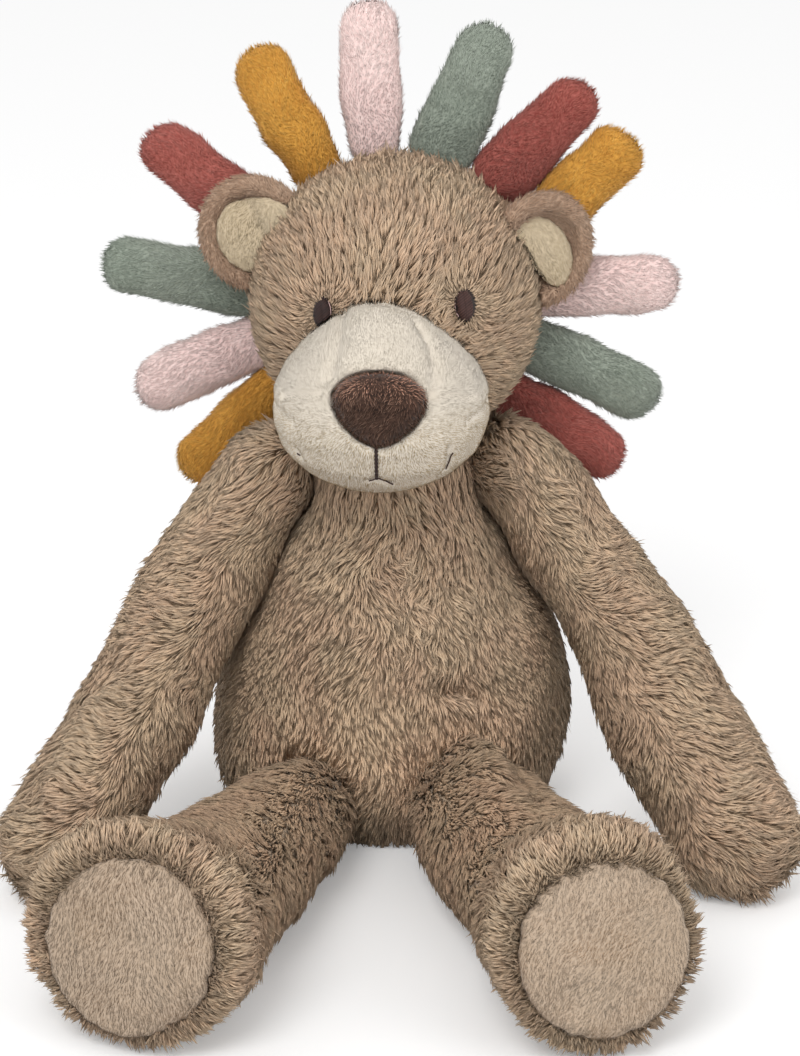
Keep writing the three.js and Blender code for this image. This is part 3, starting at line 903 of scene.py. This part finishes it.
# %% Head fur
MUZZLE_MIDDLE = np.array([-4.7, -82, 168])
EYES = np.array([(-23.62, -41.6, 190.8), (23.29, -41.6, 193.8)])

head = covers["head"]
p, n = surface_of(head)
comb = unit(p - MUZZLE_MIDDLE)
comb[:, 2] += 0.25
comb = swirled(p, n, comb, 24, 22, 2)
length = np.ones(len(p))
for eye in EYES:
    gap = distance_to(p, eye)
    away = (p - eye) / np.maximum(gap, 0.1)[:, None]
    near = (1 - soft_step(gap, 5, 14))[:, None]
    comb = comb * (1 - near) + away * near
    length *= 0.4 + 0.6 * soft_step(gap, 4, 12)
dress("head", "taupe_fur", "head")
face = soft_step(-p[:, 1], 3, 5)
for part, share in (("face", face), ("nape", 1 - face)):
    # the head's fur gets a little painted shade, to sit darker than the body's
    paint(head, comb, thick=share, pile_length=length, shade=0.96)
    grow(head, f"head_fur_{part}", "taupe_fur", "head", LONG, seed=21,
         Spacing=UNSEEN_SPACING if part == "nape" else LONG["Spacing"])

# %% [markdown]
# ## Arms
#
# Each arm has a parting down its front. Outside the parting the fur is combed across the arm,
# nearly level, and inside it the fur runs down the arm. The parting is found in the arm's own
# frame, which leans out from the shoulder.

# %% Arm fur
ARM_LENGTH = 168.0
ARM_SPREAD = {-1: math.radians(32.8), 1: math.radians(34.8)}
SHOULDER = np.array([45, -8, 122])
SPINE_DOWN = np.array([0, 0.2, 0.4, 0.58, 0.73]) * ARM_LENGTH
SPINE_FORWARD = np.array([0, 0.04, 0.15, 0.29, 0.42]) * ARM_LENGTH
ARM_FIT = {
    # how far the fabric stands off the solid at the shoulder and the paw, in mm; painted shade of
    # the whole arm
    -1: {"shoulder": 2.0, "paw": 0.0, "shade": 0.99},
    1: {"shoulder": 8.0, "paw": 3.0, "shade": 0.96},
}


def turned(points, axis, angle):
    return points @ np.array(Matrix.Rotation(angle, 3, axis)).T


spine_at = np.linspace(0, SPINE_DOWN[-1], 200)
spine_slope = np.gradient(np.interp(spine_at, SPINE_DOWN, SPINE_FORWARD), SPINE_DOWN[-1] / 199)
for side, word in WORDS.items():
    name = f"arm_{word}"
    arm = covers[name]
    fit, spread_by = ARM_FIT[side], side * ARM_SPREAD[side]
    p, n = surface_of(arm)
    p[:, 0] += 1.6 * soft_step(-p[:, 2], -115, -80) * soft_step(p[:, 2], 20, 60)
    set_points(arm.data, p * MM)
    n = normals_of(arm.data)
    bulge(arm, fit["shoulder"] * blob(distance_to(p, (side * 34, -12, 137)), 13)
          + 1.3 * lumps(p, 22, side + 5)
          + fit["paw"] * soft_step(-side * n[:, 0], 0.2, 0.9) * soft_step(-p[:, 2], -80, -45))
    p, n = surface_of(arm)
    local = turned(p - SHOULDER * np.array([side, 1, 1]), "Y", spread_by)
    facing = turned(n, "Y", spread_by)
    down = np.clip(-local[:, 2], 0, SPINE_DOWN[-1])
    lean = np.interp(down, spine_at, spine_slope)
    tangent = unit(np.stack([np.zeros(len(p)), -lean, -np.ones(len(p))], axis=1))
    outside = (soft_step(side * local[:, 0], -9, 8)
               * soft_step(-facing[:, 1] + 0.5 * facing[:, 2], -0.5, 0.1))
    outside *= soft_step(down, 10, 35)
    comb = (tangent * (1 - 0.5 * outside)[:, None]
            + np.array([side, 0, 0.0]) * (outside * 0.85 - 0.2 * (1 - outside))[:, None])
    comb = turned(comb, "Y", -spread_by)
    comb += np.array([side * 0.9, -0.3, 0.0]) * (1 - soft_step(down, 2, 26))[:, None]
    comb = swirled(p, n, comb, 14, 42, 3 + side)
    edge = soft_step(side * facing[:, 0], 0.3, 0.9)
    inner = soft_step(-side * facing[:, 0], 0.2, 0.8) * soft_step(p[:, 2], 50, 75)
    dress(name, "taupe_fur", name)
    # the inner side, towards the torso, has shorter pile and painted shade
    paint(arm, comb, thick=np.maximum(soft_step(p[:, 2], 0.5, 3), 0.2),
          pile_length=1 - 0.2 * edge - 0.35 * inner, lift=1 - 0.35 * edge - 0.3 * inner,
          shade=(1 - 0.15 * inner) * fit["shade"])
    grow(arm, name + "_fur", "taupe_fur", name, LONG, seed=31 + side)

# %% [markdown]
# ## Legs and feet
#
# The fur of the legs is rougher, because it gets handled and sat on, and it is combed back and
# out along the leg. Round each sole it stands out from the rim and leans back a little, so the
# bare sole lies in a thick ring of fur.

# %% Leg fur
LEG_SPLAY = {-1: math.radians(-19), 1: math.radians(12)}
HIP = np.array([33, -52, 16.5])
LEG_FIT = {
    # how far the fabric stands off the solid, in mm, to match the picture's outline
    -1: {"ring": 3.2, "outer": 2.0, "inner": 1.0, "thigh": 2.0, "top": 0.5},
    1: {"ring": 3.2, "outer": -4.5, "inner": -1.0, "thigh": 11.0, "top": 3.5},
}
SOLE_MIDDLE = {-1: np.array([-79.9, -188.2, 34.9]), 1: np.array([62.9, -192.9, 34.9])}


def about_foot(points, side):
    """Points in a leg's own frame, and how they lie about the sole's middle."""
    hip = HIP * np.array([side, 1, 1])
    local = turned(points - hip, "Z", -LEG_SPLAY[side])
    middle = turned((SOLE_MIDDLE[side] - hip)[None], "Z", -LEG_SPLAY[side])[0]
    radial = (local - middle) * np.array([1, 0, 1])
    return local, unit(radial), np.linalg.norm(radial, axis=1)


for side, word in WORDS.items():
    name = f"leg_{word}"
    leg, fit = covers[name], LEG_FIT[side]
    p, n = surface_of(leg)
    local, radial, reach = about_foot(p, side)
    foot = soft_step(-local[:, 1], 105, 125)
    push = foot * fit["ring"] * soft_step(radial[:, 2], -0.9, 0.2)
    push += foot * fit["outer"] * soft_step(side * radial[:, 0], 0.2, 0.9)
    thigh = 1 - soft_step(-local[:, 1], 15, 95)
    push += thigh * fit["thigh"] * soft_step(-side * radial[:, 0], 0.1, 0.8)
    push += foot * fit["top"] * soft_step(radial[:, 2], 0.3, 0.9)
    push += foot * fit["inner"] * soft_step(-side * radial[:, 0], 0.2, 0.9)
    # the foot's flat front stays where it is, under the sole
    outward = (turned(n, "Z", -LEG_SPLAY[side]) * radial).sum(axis=1)
    push *= 1 - foot * (1 - soft_step(outward, 0.1, 0.6))
    bulge(leg, push * soft_step(p[:, 2], 1, 6) + 0.8 * lumps(p, 20, side + 9))
    p, n = surface_of(leg)
    local, radial, reach = about_foot(p, side)
    rim = soft_step(-local[:, 1], 118, 138)
    top = soft_step(radial[:, 2], -0.2, 0.6) * rim
    comb = (np.array([0.85 * side, -1.0, -0.5]) * (1 - rim)[:, None]
            + (radial + np.array([0, 0.8, 0])) * rim[:, None])
    comb = turned(comb, "Z", LEG_SPLAY[side])
    comb = (swirled(p, n, comb, 17, 34, 6 + side) * (1 - 0.8 * rim)[:, None]
            + comb * 0.8 * rim[:, None])
    bare = soft_step(reach, 23, 25.5)
    front_face = soft_step(-local[:, 1], 134, 138)
    groove = front_face * (1 - soft_step(reach, 26, 31))
    low = soft_step(-p[:, 2], -25, -5)
    dress(name, "taupe_fur", name)
    # painted shade over the whole leg, near the floor and in the groove round the sole, and painted
    # light on the ring of fur
    paint(leg, comb, thick=(np.maximum(soft_step(p[:, 2], 0.5, 3), 0.2)
                            * (1 - front_face * (1 - bare))),
          pile_length=0.9 - 0.2 * rim, lift=0.85 - 0.3 * rim + 0.75 * top, warm=0.6 * (1 - rim),
          shade=(0.9 - 0.12 * low * (1 - rim)) * (1 - 0.45 * groove) * (1 + 0.16 * rim))
    grow(leg, name + "_fur", "taupe_fur", name, LONG, seed=41 + side, Spacing=0.54, Stray=0.12,
         Wander=0.8, **{"Gather Size": 3.6, "Gather Pull": 0.34})

# %% [markdown]
# ## Soles
#
# The soles are short pile, brushed downwards in soft waves and darker in patches. Each sole is
# painted as a whole with its own light and shade, the right darker than the left, with painted
# shade at the rim; the right sole has more painted shade towards its top.

# %% Soles
SOLE_FIT = {
    # size along each axis, rise in mm, lean of the pile, painted light and shade of the whole sole,
    # painted shade towards the top (painted light where below 0)
    -1: ((1.06, 1.0, 1.06), -0.8, 0.05, 0.82, 0.12),
    1: ((1.0, 1.0, 1.04), 1.0, -0.5, 1.06, -0.05),
}

for side, word in WORDS.items():
    name = f"sole_{word}"
    sole = covers[name]
    size, rise, lean, painted_light, top_shade = SOLE_FIT[side]
    p, n = surface_of(sole)
    middle = SOLE_MIDDLE[side]
    p = middle + (p - middle) * np.array(size) + np.array([0, 0, rise])
    reach = np.linalg.norm((p - middle)[:, ::2], axis=1)
    facing = soft_step(-n[:, 1], 0.2, 0.6)
    p[:, 1] -= facing * (1.8 * (1 - soft_step(reach, 6, 27)) + 0.8 * lumps(p, 16, 12 + side))
    set_points(sole.data, p * MM)
    n = normals_of(sole.data)
    comb = swirled(p, n, np.tile([lean, 0, -1.0], (len(p), 1)), 16, 26, 15 + side)
    dress(name, "sole_pile", f"leg_{word}")
    patches = lumps(p, 12, 20 + side)
    # painted light and shade of the whole sole, painted shade at the rim next to the ring of fur
    # and towards the top
    paint(sole, comb, thick=soft_step(-n[:, 1], -0.3, 0.1), warm=np.clip(patches, 0, 1),
          shade=(1.0 + 0.16 * patches) * (1 - 0.3 * soft_step(reach, 24, 29)) * painted_light
          * (1 - top_shade * soft_step(p[:, 2], 36, 58)))
    grow(sole, name + "_pile", "sole_pile", f"leg_{word}", SHORT, seed=51 + side, Spacing=0.5,
         Lift=0.1, Length=2.2, Width=0.36, Wander=0.4)

# %% [markdown]
# ## Muzzle
#
# The muzzle is two cream panels sewn together along the side. Their pile is brushed away from
# the nose, up and back over the bridge and down over the chin, and stands up where the muzzle
# meets the head. Seams, mouth and dimples are creases, found where the picture shows them.

# %% Muzzle
NOSE_MIDDLE = np.array([-5.6, -87.8, 171])
SEAM_HEIGHT = 0.1633  # of the side seams, in metres
MUZZLE_CREASES = (
    # points of the picture; width and depth in mm
    ([(341, 312), (337, 335), (333, 355), (329, 376)], 2.6, 1.7),
    ([(420, 324), (431, 344), (436, 362), (433, 394)], 2.6, 1.7),
    ([(282, 397), (300, 397), (318, 396), (336, 394)], 1.4, 1.1),
    ([(426, 396), (445, 396), (466, 398), (488, 400)], 1.4, 1.1),
    ([(376.5, 446), (376.8, 479)], 1.2, 0.9),
    ([(368, 481), (377, 480), (390, 483)], 1.2, 0.7),
    ([(450, 450), (446, 470)], 1.6, 1.0),
    ([(297, 452), (300, 458)], 2.0, 0.9),
)
muzzle = covers["muzzle"]
crease(muzzle, seen_on(skin_of(muzzle), [(352, 300), (372, 299), (392, 300), (412, 303)]), 6.0, 1.8)
skin = skin_of(muzzle)
seams = []
for way in WORDS:
    # from the sides, the seam goes on to the head
    casts = [skin.ray_cast(Vector((way * 0.2, y * MM, SEAM_HEIGHT)), Vector((-way, 0, 0)))[0]
             for y in range(-70, -34, 5)]
    seams.append(np.array([hit for hit in casts if hit is not None]) / MM)
    crease(muzzle, seams[-1], 1.4, 1.0)
skin = skin_of(muzzle)
for path, width, depth in MUZZLE_CREASES:
    seams.append(seen_on(skin, path))
    crease(muzzle, seams[-1], width, depth)
mouth_skin = skin_of(muzzle)
p, n = surface_of(muzzle)
comb = unit(p - NOSE_MIDDLE)
comb[:, 2] += 0.25 * np.tanh((p[:, 2] - SEAM_HEIGHT / MM + 0.3) / 4)
comb = swirled(p, n, comb, 16, 30, 9)
parted = np.ones(len(p))
for path in seams:
    parted = np.minimum(parted, soft_step(distance_to_path(p, path), 0.2, 1.6))
low = soft_step(-p[:, 2], -172, -160)
dress("muzzle", "cream_pile", "head")
edge = 1 - soft_step(gaps_to(skin_of(head), p), 0.5, 6)
# painted shade in the seams and creases and a little on the lower panel, which is also a warmer
# cream
paint(muzzle, comb, pile_length=0.6 + 0.4 * parted + 1.2 * edge, lift=1 + 3 * edge, warm=low,
      shade=(1 - 0.4 * (1 - parted)) * (1 - 0.05 * low))
grow(muzzle, "muzzle_pile", "cream_pile", "head", SHORT, seed=61, Lift=0.09, Length=1.5,
     Spacing=0.48, Width=0.42, Stray=0.12, **{"Gather Pull": 0.1})

# %% [markdown]
# ## Nose
#
# The nose pad is dark brown plush, brushed down in swirls, with a painted highlight along its
# top and a streak of painted shade down the middle of the top.

# %% Nose
nose = covers["nose"]
p, n = surface_of(nose)
from_middle = p[:, 0] - NOSE_MIDDLE[0]
comb = np.stack([0.05 * from_middle, np.zeros(len(p)), -np.ones(len(p))], axis=1)
comb = swirled(p, n, comb, 9, 50, 23)
dress("nose", "nose_pile", "head")
# painted highlight along the top, painted shade down the middle of the top
rise = soft_step(p[:, 2], 172, 182)
middle_shade = blob(from_middle, 2.4) * soft_step(p[:, 2], 168, 176)
paint(nose, comb, pile_length=1 - 0.4 * rise,
      shade=(0.9 + 3.4 * rise) * (1 - 0.4 * middle_shade) * (1 + 0.25 * lumps(p, 4, 8)))
grow(nose, "nose_plush", "nose_pile", "head", SHORT, seed=71, Spacing=0.6, Length=2.6,
     Width=0.5, Lift=0.42, Stray=0.3, **{"Gather Pull": 0.5})

# %% [markdown]
# ## Ears
#
# An ear is a brown shell with a cream lining sewn into its cup. The shell's pile runs round the
# rim, and stands up more and has painted shade where it meets the lining. The linings' cream is
# drawn darker and tanner, as painted shade of the cup, and each lining has one soft fold with
# painted shade along it.

# %% Ears
EAR_FIT = {
    # middle of the ear and how far its lining is moved, in mm; the lining's fold in the picture
    -1: ((-46.6, 5.3, 207), (3.5, -4.5, 1.0), [(244, 206), (251, 226), (266, 244)]),
    1: ((47.2, -1.3, 203), (-1.5, -2.0, 0.0), [(518, 238), (530, 262), (546, 286)]),
}
for side, word in WORDS.items():
    middle, moved_by, fold_seen = EAR_FIT[side]
    name, lining_name = f"ear_{word}", f"ear_lining_{word}"
    ear, lining = covers[name], covers[lining_name]
    shell, n = surface_of(ear)
    comb = unit((shell - middle) * np.array([1, 0, 1]))
    round_rim = np.stack([comb[:, 2], 0 * comb[:, 0], -comb[:, 0]], axis=1) * side
    comb = 0.5 * comb + round_rim + np.array([0, 0.6, 0])
    ear_comb = swirled(shell, n, comb, 9, 35, 17 + side)
    p, n = surface_of(lining)
    near = soft_step(-side * (p - middle)[:, 0], -4, 8)
    p += near[:, None] * np.array(moved_by)
    if word == "left":
        # this lining shows as a slanting band, longer than it is wide
        band, slant = np.array([0.76, 0, 0.65]), np.array([0.65, 0, -0.76])
        p -= (((p - middle) @ band + 1.0) * 0.26)[:, None] * band
        p += (((p - middle) @ slant) * 0.1)[:, None] * slant
    set_points(lining.data, p * MM)
    dress(name, "ear_pile", "head")
    skin = skin_of(lining)
    gap = gaps_to(skin, shell)
    # painted shade on the shell's pile next to the lining
    paint(ear, ear_comb, shade=1.04 - 0.26 * blob(gap, 3), lift=1 + 0.8 * blob(gap, 4))
    grow(ear, name + "_pile", "ear_pile", "head", SHORT, seed=81 + side, Spacing=0.62,
         Length=3.1, Width=0.52, Lift=0.24, Wander=1.0, **{"Gather Pull": 0.45})
    valley = seen_on(skin, fold_seen)
    crease(lining, valley, 4.0, 2.0)
    p, n = surface_of(lining)
    comb = swirled(p, n, np.tile([0.4 * side, 0, -1.0], (len(p), 1)), 8, 40, 19 + side)
    # the lining's cream is drawn with the darker ear_lining copy, painted shade of the cup
    dress(lining_name, "cream_pile", "head", look="ear_lining")
    # painted shade along the lining's fold
    paint(lining, comb, shade=1.05 - 0.35 * blob(distance_to_path(p, valley), 5.0))
    grow(lining, lining_name + "_pile", "cream_pile", "head", SHORT, seed=91 + side,
         look="ear_lining", Length=1.5, Lift=0.15, Spacing=0.55, Width=0.42)

# %% [markdown]
# ## Mane
#
# Twelve stuffed fleece tabs, in four colours, each brushed from its root to its tip. A root is
# sunk a little into the fur of the head, and has painted shade there, which fades out along the
# tab.

# %% Mane
TAB_FIT = [
    # how far each tab lies off its solid, across and up in mm, and how much wider its root is
    (-0.8, 0.8, 0.1), (-1.0, 1.0, 0.1), (0.0, -0.8, 0.25), (-0.6, -2.0, 0.1),
    (-2.3, -0.6, 0.1), (-2.2, 0.0, 0.05), (0.8, -0.6, 0.45), (-0.2, 0.8, 0.3),
    (-0.4, 1.4, 0.1), (0.0, 1.4, 0.05), (-1.4, 1.6, 0.2), (0.6, 3.6, 0.25),
]
TAB_WIDEN, ROOT_SINK = 0.15, 2.5
MANE_COLOURS = ["mane_mustard", "mane_pink", "mane_sage", "mane_red"]
ROOTS = {joint["name"]: np.array(joint["pos_m"]) / MM for joint in frame["joints"]}
for number, (label, (dx, dz, at_root)) in enumerate(zip(TABS, TAB_FIT), 1):
    name = f"mane_tab_{label}"
    tab, finish = covers[name], MANE_COLOURS[(number - 1) % 4]
    p, n = surface_of(tab)
    root = ROOTS[f"mane_flex_{label}"]
    way = (p.mean(axis=0) - root) * np.array([1, 0, 1])
    way /= np.linalg.norm(way)
    side_way = np.array([-way[2], 0, way[0]])
    along = (p - root) @ way
    widen = TAB_WIDEN + at_root * (1 - soft_step(along, 2, 30))
    p += (widen * ((p - p.mean(axis=0)) @ side_way))[:, None] * side_way
    p += np.array([dx, 0, dz]) * (0.5 + 0.5 * soft_step(along, 0, 25))[:, None]
    p -= (ROOT_SINK * (1 - soft_step(along, 0, 14)))[:, None] * way
    set_points(tab.data, p * MM)
    bulge(tab, 0.9 * lumps(p, 13, number))
    p, n = surface_of(tab)
    comb = swirled(p, n, np.tile(way, (len(p), 1)), 9, 30, number)
    dress(name, finish, name)
    # painted shade at the root, where the tab sinks into the head's fur
    paint(tab, comb, shade=(0.74 + 0.32 * soft_step((p - root) @ way, 0, 38))
          * (1 + 0.1 * lumps(p, 15, number)))
    grow(tab, name + "_pile", finish, name, SHORT, seed=100 + number, Spacing=0.62,
         Length=2.6, Width=0.46, Lift=0.32, **{"Gather Pull": 0.35})

# %% [markdown]
# ## Sewing thread
#
# Eyes, mouth and dimples are sewn. Every stitch is a short line that follows the cover under
# it, and a second small tree gives all of those lines a round section. Each point carries the
# thread's radius there, so a thread can taper at its ends or bead where it is pulled tight, and
# each thread carries a tone for its material.

# %% Sewing thread
THREAD_SIDES = 6


def thread_tree():
    tree = bpy.data.node_groups.new("sewn thread", "GeometryNodeTree")
    given = group_inputs(tree, {"Int": ("Sides",), "Material": ("Material",)})
    lines = add(tree, "GeometryNodeMeshToCurve", {"Mesh": given["Geometry"]}).outputs["Curve"]
    section = add(tree, "GeometryNodeCurvePrimitiveCircle", {
        "Resolution": given["Sides"], "Radius": 1.0,
    }).outputs["Curve"]
    tube = add(tree, "GeometryNodeCurveToMesh", {
        "Curve": lines, "Profile Curve": section, "Scale": named(tree, "thread"),
        "Fill Caps": True,
    }).outputs["Mesh"]
    plain = add(tree, "GeometryNodeRealizeInstances", {"Geometry": tube}).outputs["Geometry"]
    end_smooth(tree, plain, given["Material"])
    return tree


def thread_material(name, dark, light, pale):
    material, tree = new_material(name)
    colour = ramp(tree, attribute(tree, "tone"), [(0.0, dark), (0.6, light), (1.0, pale)])
    end_in_principled(tree, {"Base Color": colour, "Roughness": 0.6,
                             "Specular IOR Level": 0.3, "Sheen Weight": 0.05})
    return material


THREAD_TREE = thread_tree()
THREAD_SOCKETS = sockets_of(THREAD_TREE)
thread = thread_material("dark_thread", (20, 9, 8), (84, 55, 49), (206, 172, 168))
backing["eye_thread"] = thread


def towards_camera(points, share):
    """Lifts points off their skin by a share of their way to the camera."""
    return points + (np.array(eye_point) / MM - points) * share


def sew(name, body, strands):
    """strands: (points in mm, radius at each point in mm, tone from 0 to 1)."""
    verts, edges, radii, tones = [], [], [], []
    for points, radius, tone in strands:
        start = len(verts)
        verts.extend((np.asarray(points) * MM).tolist())
        edges.extend((start + k, start + k + 1) for k in range(len(points) - 1))
        radii.extend(np.broadcast_to(np.asarray(radius, float) * MM, (len(points),)))
        tones.extend([tone] * len(points))
    mesh = bpy.data.meshes.new(name)
    mesh.from_pydata(verts, edges, [])
    for label, values in (("thread", radii), ("tone", tones)):
        mesh.attributes.new(label, "FLOAT", "POINT").data.foreach_set("value", values)
    obj = new_object(name, mesh)
    modifier = obj.modifiers.new("thread", "NODES")
    modifier.node_group = THREAD_TREE
    modifier[THREAD_SOCKETS["Sides"]] = THREAD_SIDES
    modifier[THREAD_SOCKETS["Material"]] = thread
    apply_modifiers(obj)
    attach(obj, body)
    count_triangles(obj, len(strands), "stitches,")


# %% [markdown]
# ## Eyes
#
# An eye is a padded oval covered in satin stitch: slanting rows on either side of one line,
# and a ring of short stitches that pull its edge down into the fur. One pale thread shows along
# the edge on the muzzle's side.

# %% Eyes
EYE_SEEN = {
    # middle and half sizes in the picture, in pixels; which way the muzzle lies; how pale, a
    # painted highlight that makes the left eye's thread paler than the right's
    "right": ((322.4, 312.2), (8.6, 14.8), 1, -0.08),
    "left": ((465.3, 305.0), (10.4, 15.6), -1, 0.1),
}
EYE_MOVED = {"right": 0.0, "left": 0.6}  # towards the toy's right, in mm
ROW_WAY, ROW_SLANT = np.array([0.82, -0.45]), 0.22
ROWS, RING_STITCHES = 12, 26
for word, ((mid_x, mid_y), (half_x, half_y), inward, pale) in EYE_SEEN.items():
    eye = covers[f"eye_{word}"]
    set_points(eye.data, points_of(eye.data) - np.array([EYE_MOVED[word] * MM, 0, 0]))
    dress(f"eye_{word}", "eye_thread", "head")
    both = skin_of(eye, head)

    def on_eye(places):
        """Places in the eye's own measure, from -1 to 1, found on the eye and the head."""
        return seen_on(both, [(mid_x + x * half_x, mid_y + y * half_y) for x, y in places])

    strands = []
    for k in range(-ROWS, ROWS + 1):
        along = k / (ROWS + 0.4)
        start = np.array([ROW_SLANT * along, along])
        for way in (ROW_WAY, -ROW_WAY):
            # the row ends where it meets the oval
            b = float(start @ way)
            c = float(start @ start) - 0.96
            square = way @ way
            reach = -b / square + math.sqrt(max(0.0, b * b - c * square)) / square
            if c > 0 or reach < 0.12:
                continue
            points = on_eye([start + way * reach * share for share in (0, 0.33, 0.66, 1)])
            if len(points) == 4:
                tone = 0.15 * noise.noise(Vector((k * 0.9, way[0], 1.3)))
                tone = pale + 0.12 + 0.2 * (k % 2) + tone
                strands.append((points, (0.22, 0.32, 0.3, 0.18), tone))
    for k in range(RING_STITCHES):
        angle = k / RING_STITCHES * math.tau
        points = on_eye([(r * math.cos(angle), r * math.sin(angle)) for r in (0.86, 1.0, 1.13)])
        if len(points) == 3:
            strands.append((points, (0.25, 0.4, 0.12), 0.08 * (k % 3)))
    points = on_eye([(inward * 0.98 * math.cos(a), 0.98 * math.sin(a))
                     for a in np.radians(np.linspace(-65, 50, 9))])
    strands.append((towards_camera(points, 0.0004), 0.13, 0.95))
    sew(f"eye_{word}_stitches", "head", strands)

# %% [markdown]
# ## Mouth
#
# The mouth is one line of tight stitches down from the nose, and two loose strokes at its foot.
# A single stitch on each side draws the muzzle in and leaves a dimple.

# %% Mouth
MOUTH_TOP, MOUTH_DROP, MOUTH_DRIFT = (376.0, 446.0), 33.0, 0.6  # in pixels of the picture
MOUTH_STITCHES = 8.5
share = np.linspace(0, 1, 54)
line = seen_on(mouth_skin, [(MOUTH_TOP[0] + MOUTH_DRIFT * s, MOUTH_TOP[1] + MOUTH_DROP * s)
                            for s in share])
beads = 0.42 + 0.24 * np.abs(np.sin(share[:len(line)] * math.pi * MOUTH_STITCHES))
strands = [(towards_camera(line, 0.0004), beads, 0.1)]
for path, radius in (([(377, 478), (373, 480), (369, 481)], 0.22),
                     ([(377, 478), (385, 480.5), (393, 484.5)], 0.26),
                     ([(453, 453), (450.5, 457), (449, 462), (446, 469)], 0.22),
                     ([(297, 453.5), (300, 455.5)], 0.24)):
    strands.append((towards_camera(seen_on(mouth_skin, path), 0.0005), radius, 0.3))
sew("mouth_stitches", "head", strands)

# %% [markdown]
# ## Floor and light
#
# A large pale floor takes the toy's soft shadow. Seen straight from the camera it also glows a
# little, so it reads as white without more light on the toy. The world is an even white dome,
# and two broad lamps give the fur its direction: one above the camera, one from the side.

# %% Floor and light
FLOOR_SIDE = 12.0
FLOOR_COLOUR, FLOOR_GLOW = (0.82, 0.82, 0.82, 1), 0.2
DOME_LIGHT, DOME_SEEN = 0.85, 1.0
WHITE = (1.0, 1.0, 1.0, 1.0)
TOY_MIDDLE = Vector((0, -0.05, 0.12))


def seen_directly(tree):
    """1 for rays from the camera, also by way of a mirror or glass, and 0 for other light."""
    rays = add(tree, "ShaderNodeLightPath").outputs
    return maths(tree, "MAXIMUM", rays["Is Camera Ray"],
                 maths(tree, "MAXIMUM", rays["Is Glossy Ray"], rays["Is Transmission Ray"]))


half = FLOOR_SIDE / 2
floor_mesh = bpy.data.meshes.new("floor")
floor_mesh.from_pydata([(-half, -half, 0), (half, -half, 0), (half, half, 0), (-half, half, 0)],
                       [], [(0, 1, 2, 3)])
floor = new_object("floor", floor_mesh)
floor_material, tree = new_material("pale_floor")
matte = add(tree, "ShaderNodeBsdfDiffuse", {"Color": FLOOR_COLOUR}).outputs["BSDF"]
glow = add(tree, "ShaderNodeEmission", {
    "Color": WHITE, "Strength": product(tree, seen_directly(tree), FLOOR_GLOW),
}).outputs["Emission"]
both = add(tree, "ShaderNodeAddShader", {0: matte, 1: glow}).outputs["Shader"]
add(tree, "ShaderNodeOutputMaterial", {"Surface": both})
floor_mesh.materials.append(floor_material)

world = bpy.data.worlds.new("studio")
world.use_nodes = True
tree = world.node_tree
tree.nodes.clear()
strength = mapped(tree, seen_directly(tree), DOME_LIGHT, DOME_SEEN)
sky = add(tree, "ShaderNodeBackground", {"Color": WHITE, "Strength": strength})
add(tree, "ShaderNodeOutputWorld", {"Surface": sky.outputs["Background"]})


def soft_lamp(name, place, size, power):
    data = bpy.data.lights.new(name, "AREA")
    data.shape = "DISK"
    data.size = size
    data.energy = power
    lamp = new_object(name, data)
    lamp.location = place
    lamp.rotation_euler = (TOY_MIDDLE - Vector(place)).to_track_quat("-Z", "Y").to_euler()


soft_lamp("key", (-0.4, -1.2, 1.4), 0.9, 13.0)
soft_lamp("fill", (1.1, -1.1, 0.7), 0.9, 4.0)

scene = bpy.context.scene
scene.world = world
scene.view_settings.view_transform = "Standard"

# %% Sizes and the end
for family in (long_locks, short_locks):
    for obj in list(family.objects):
        bpy.data.objects.remove(obj)
    bpy.data.collections.remove(family)
print("triangles in all:", sum(triangles_made.values()))
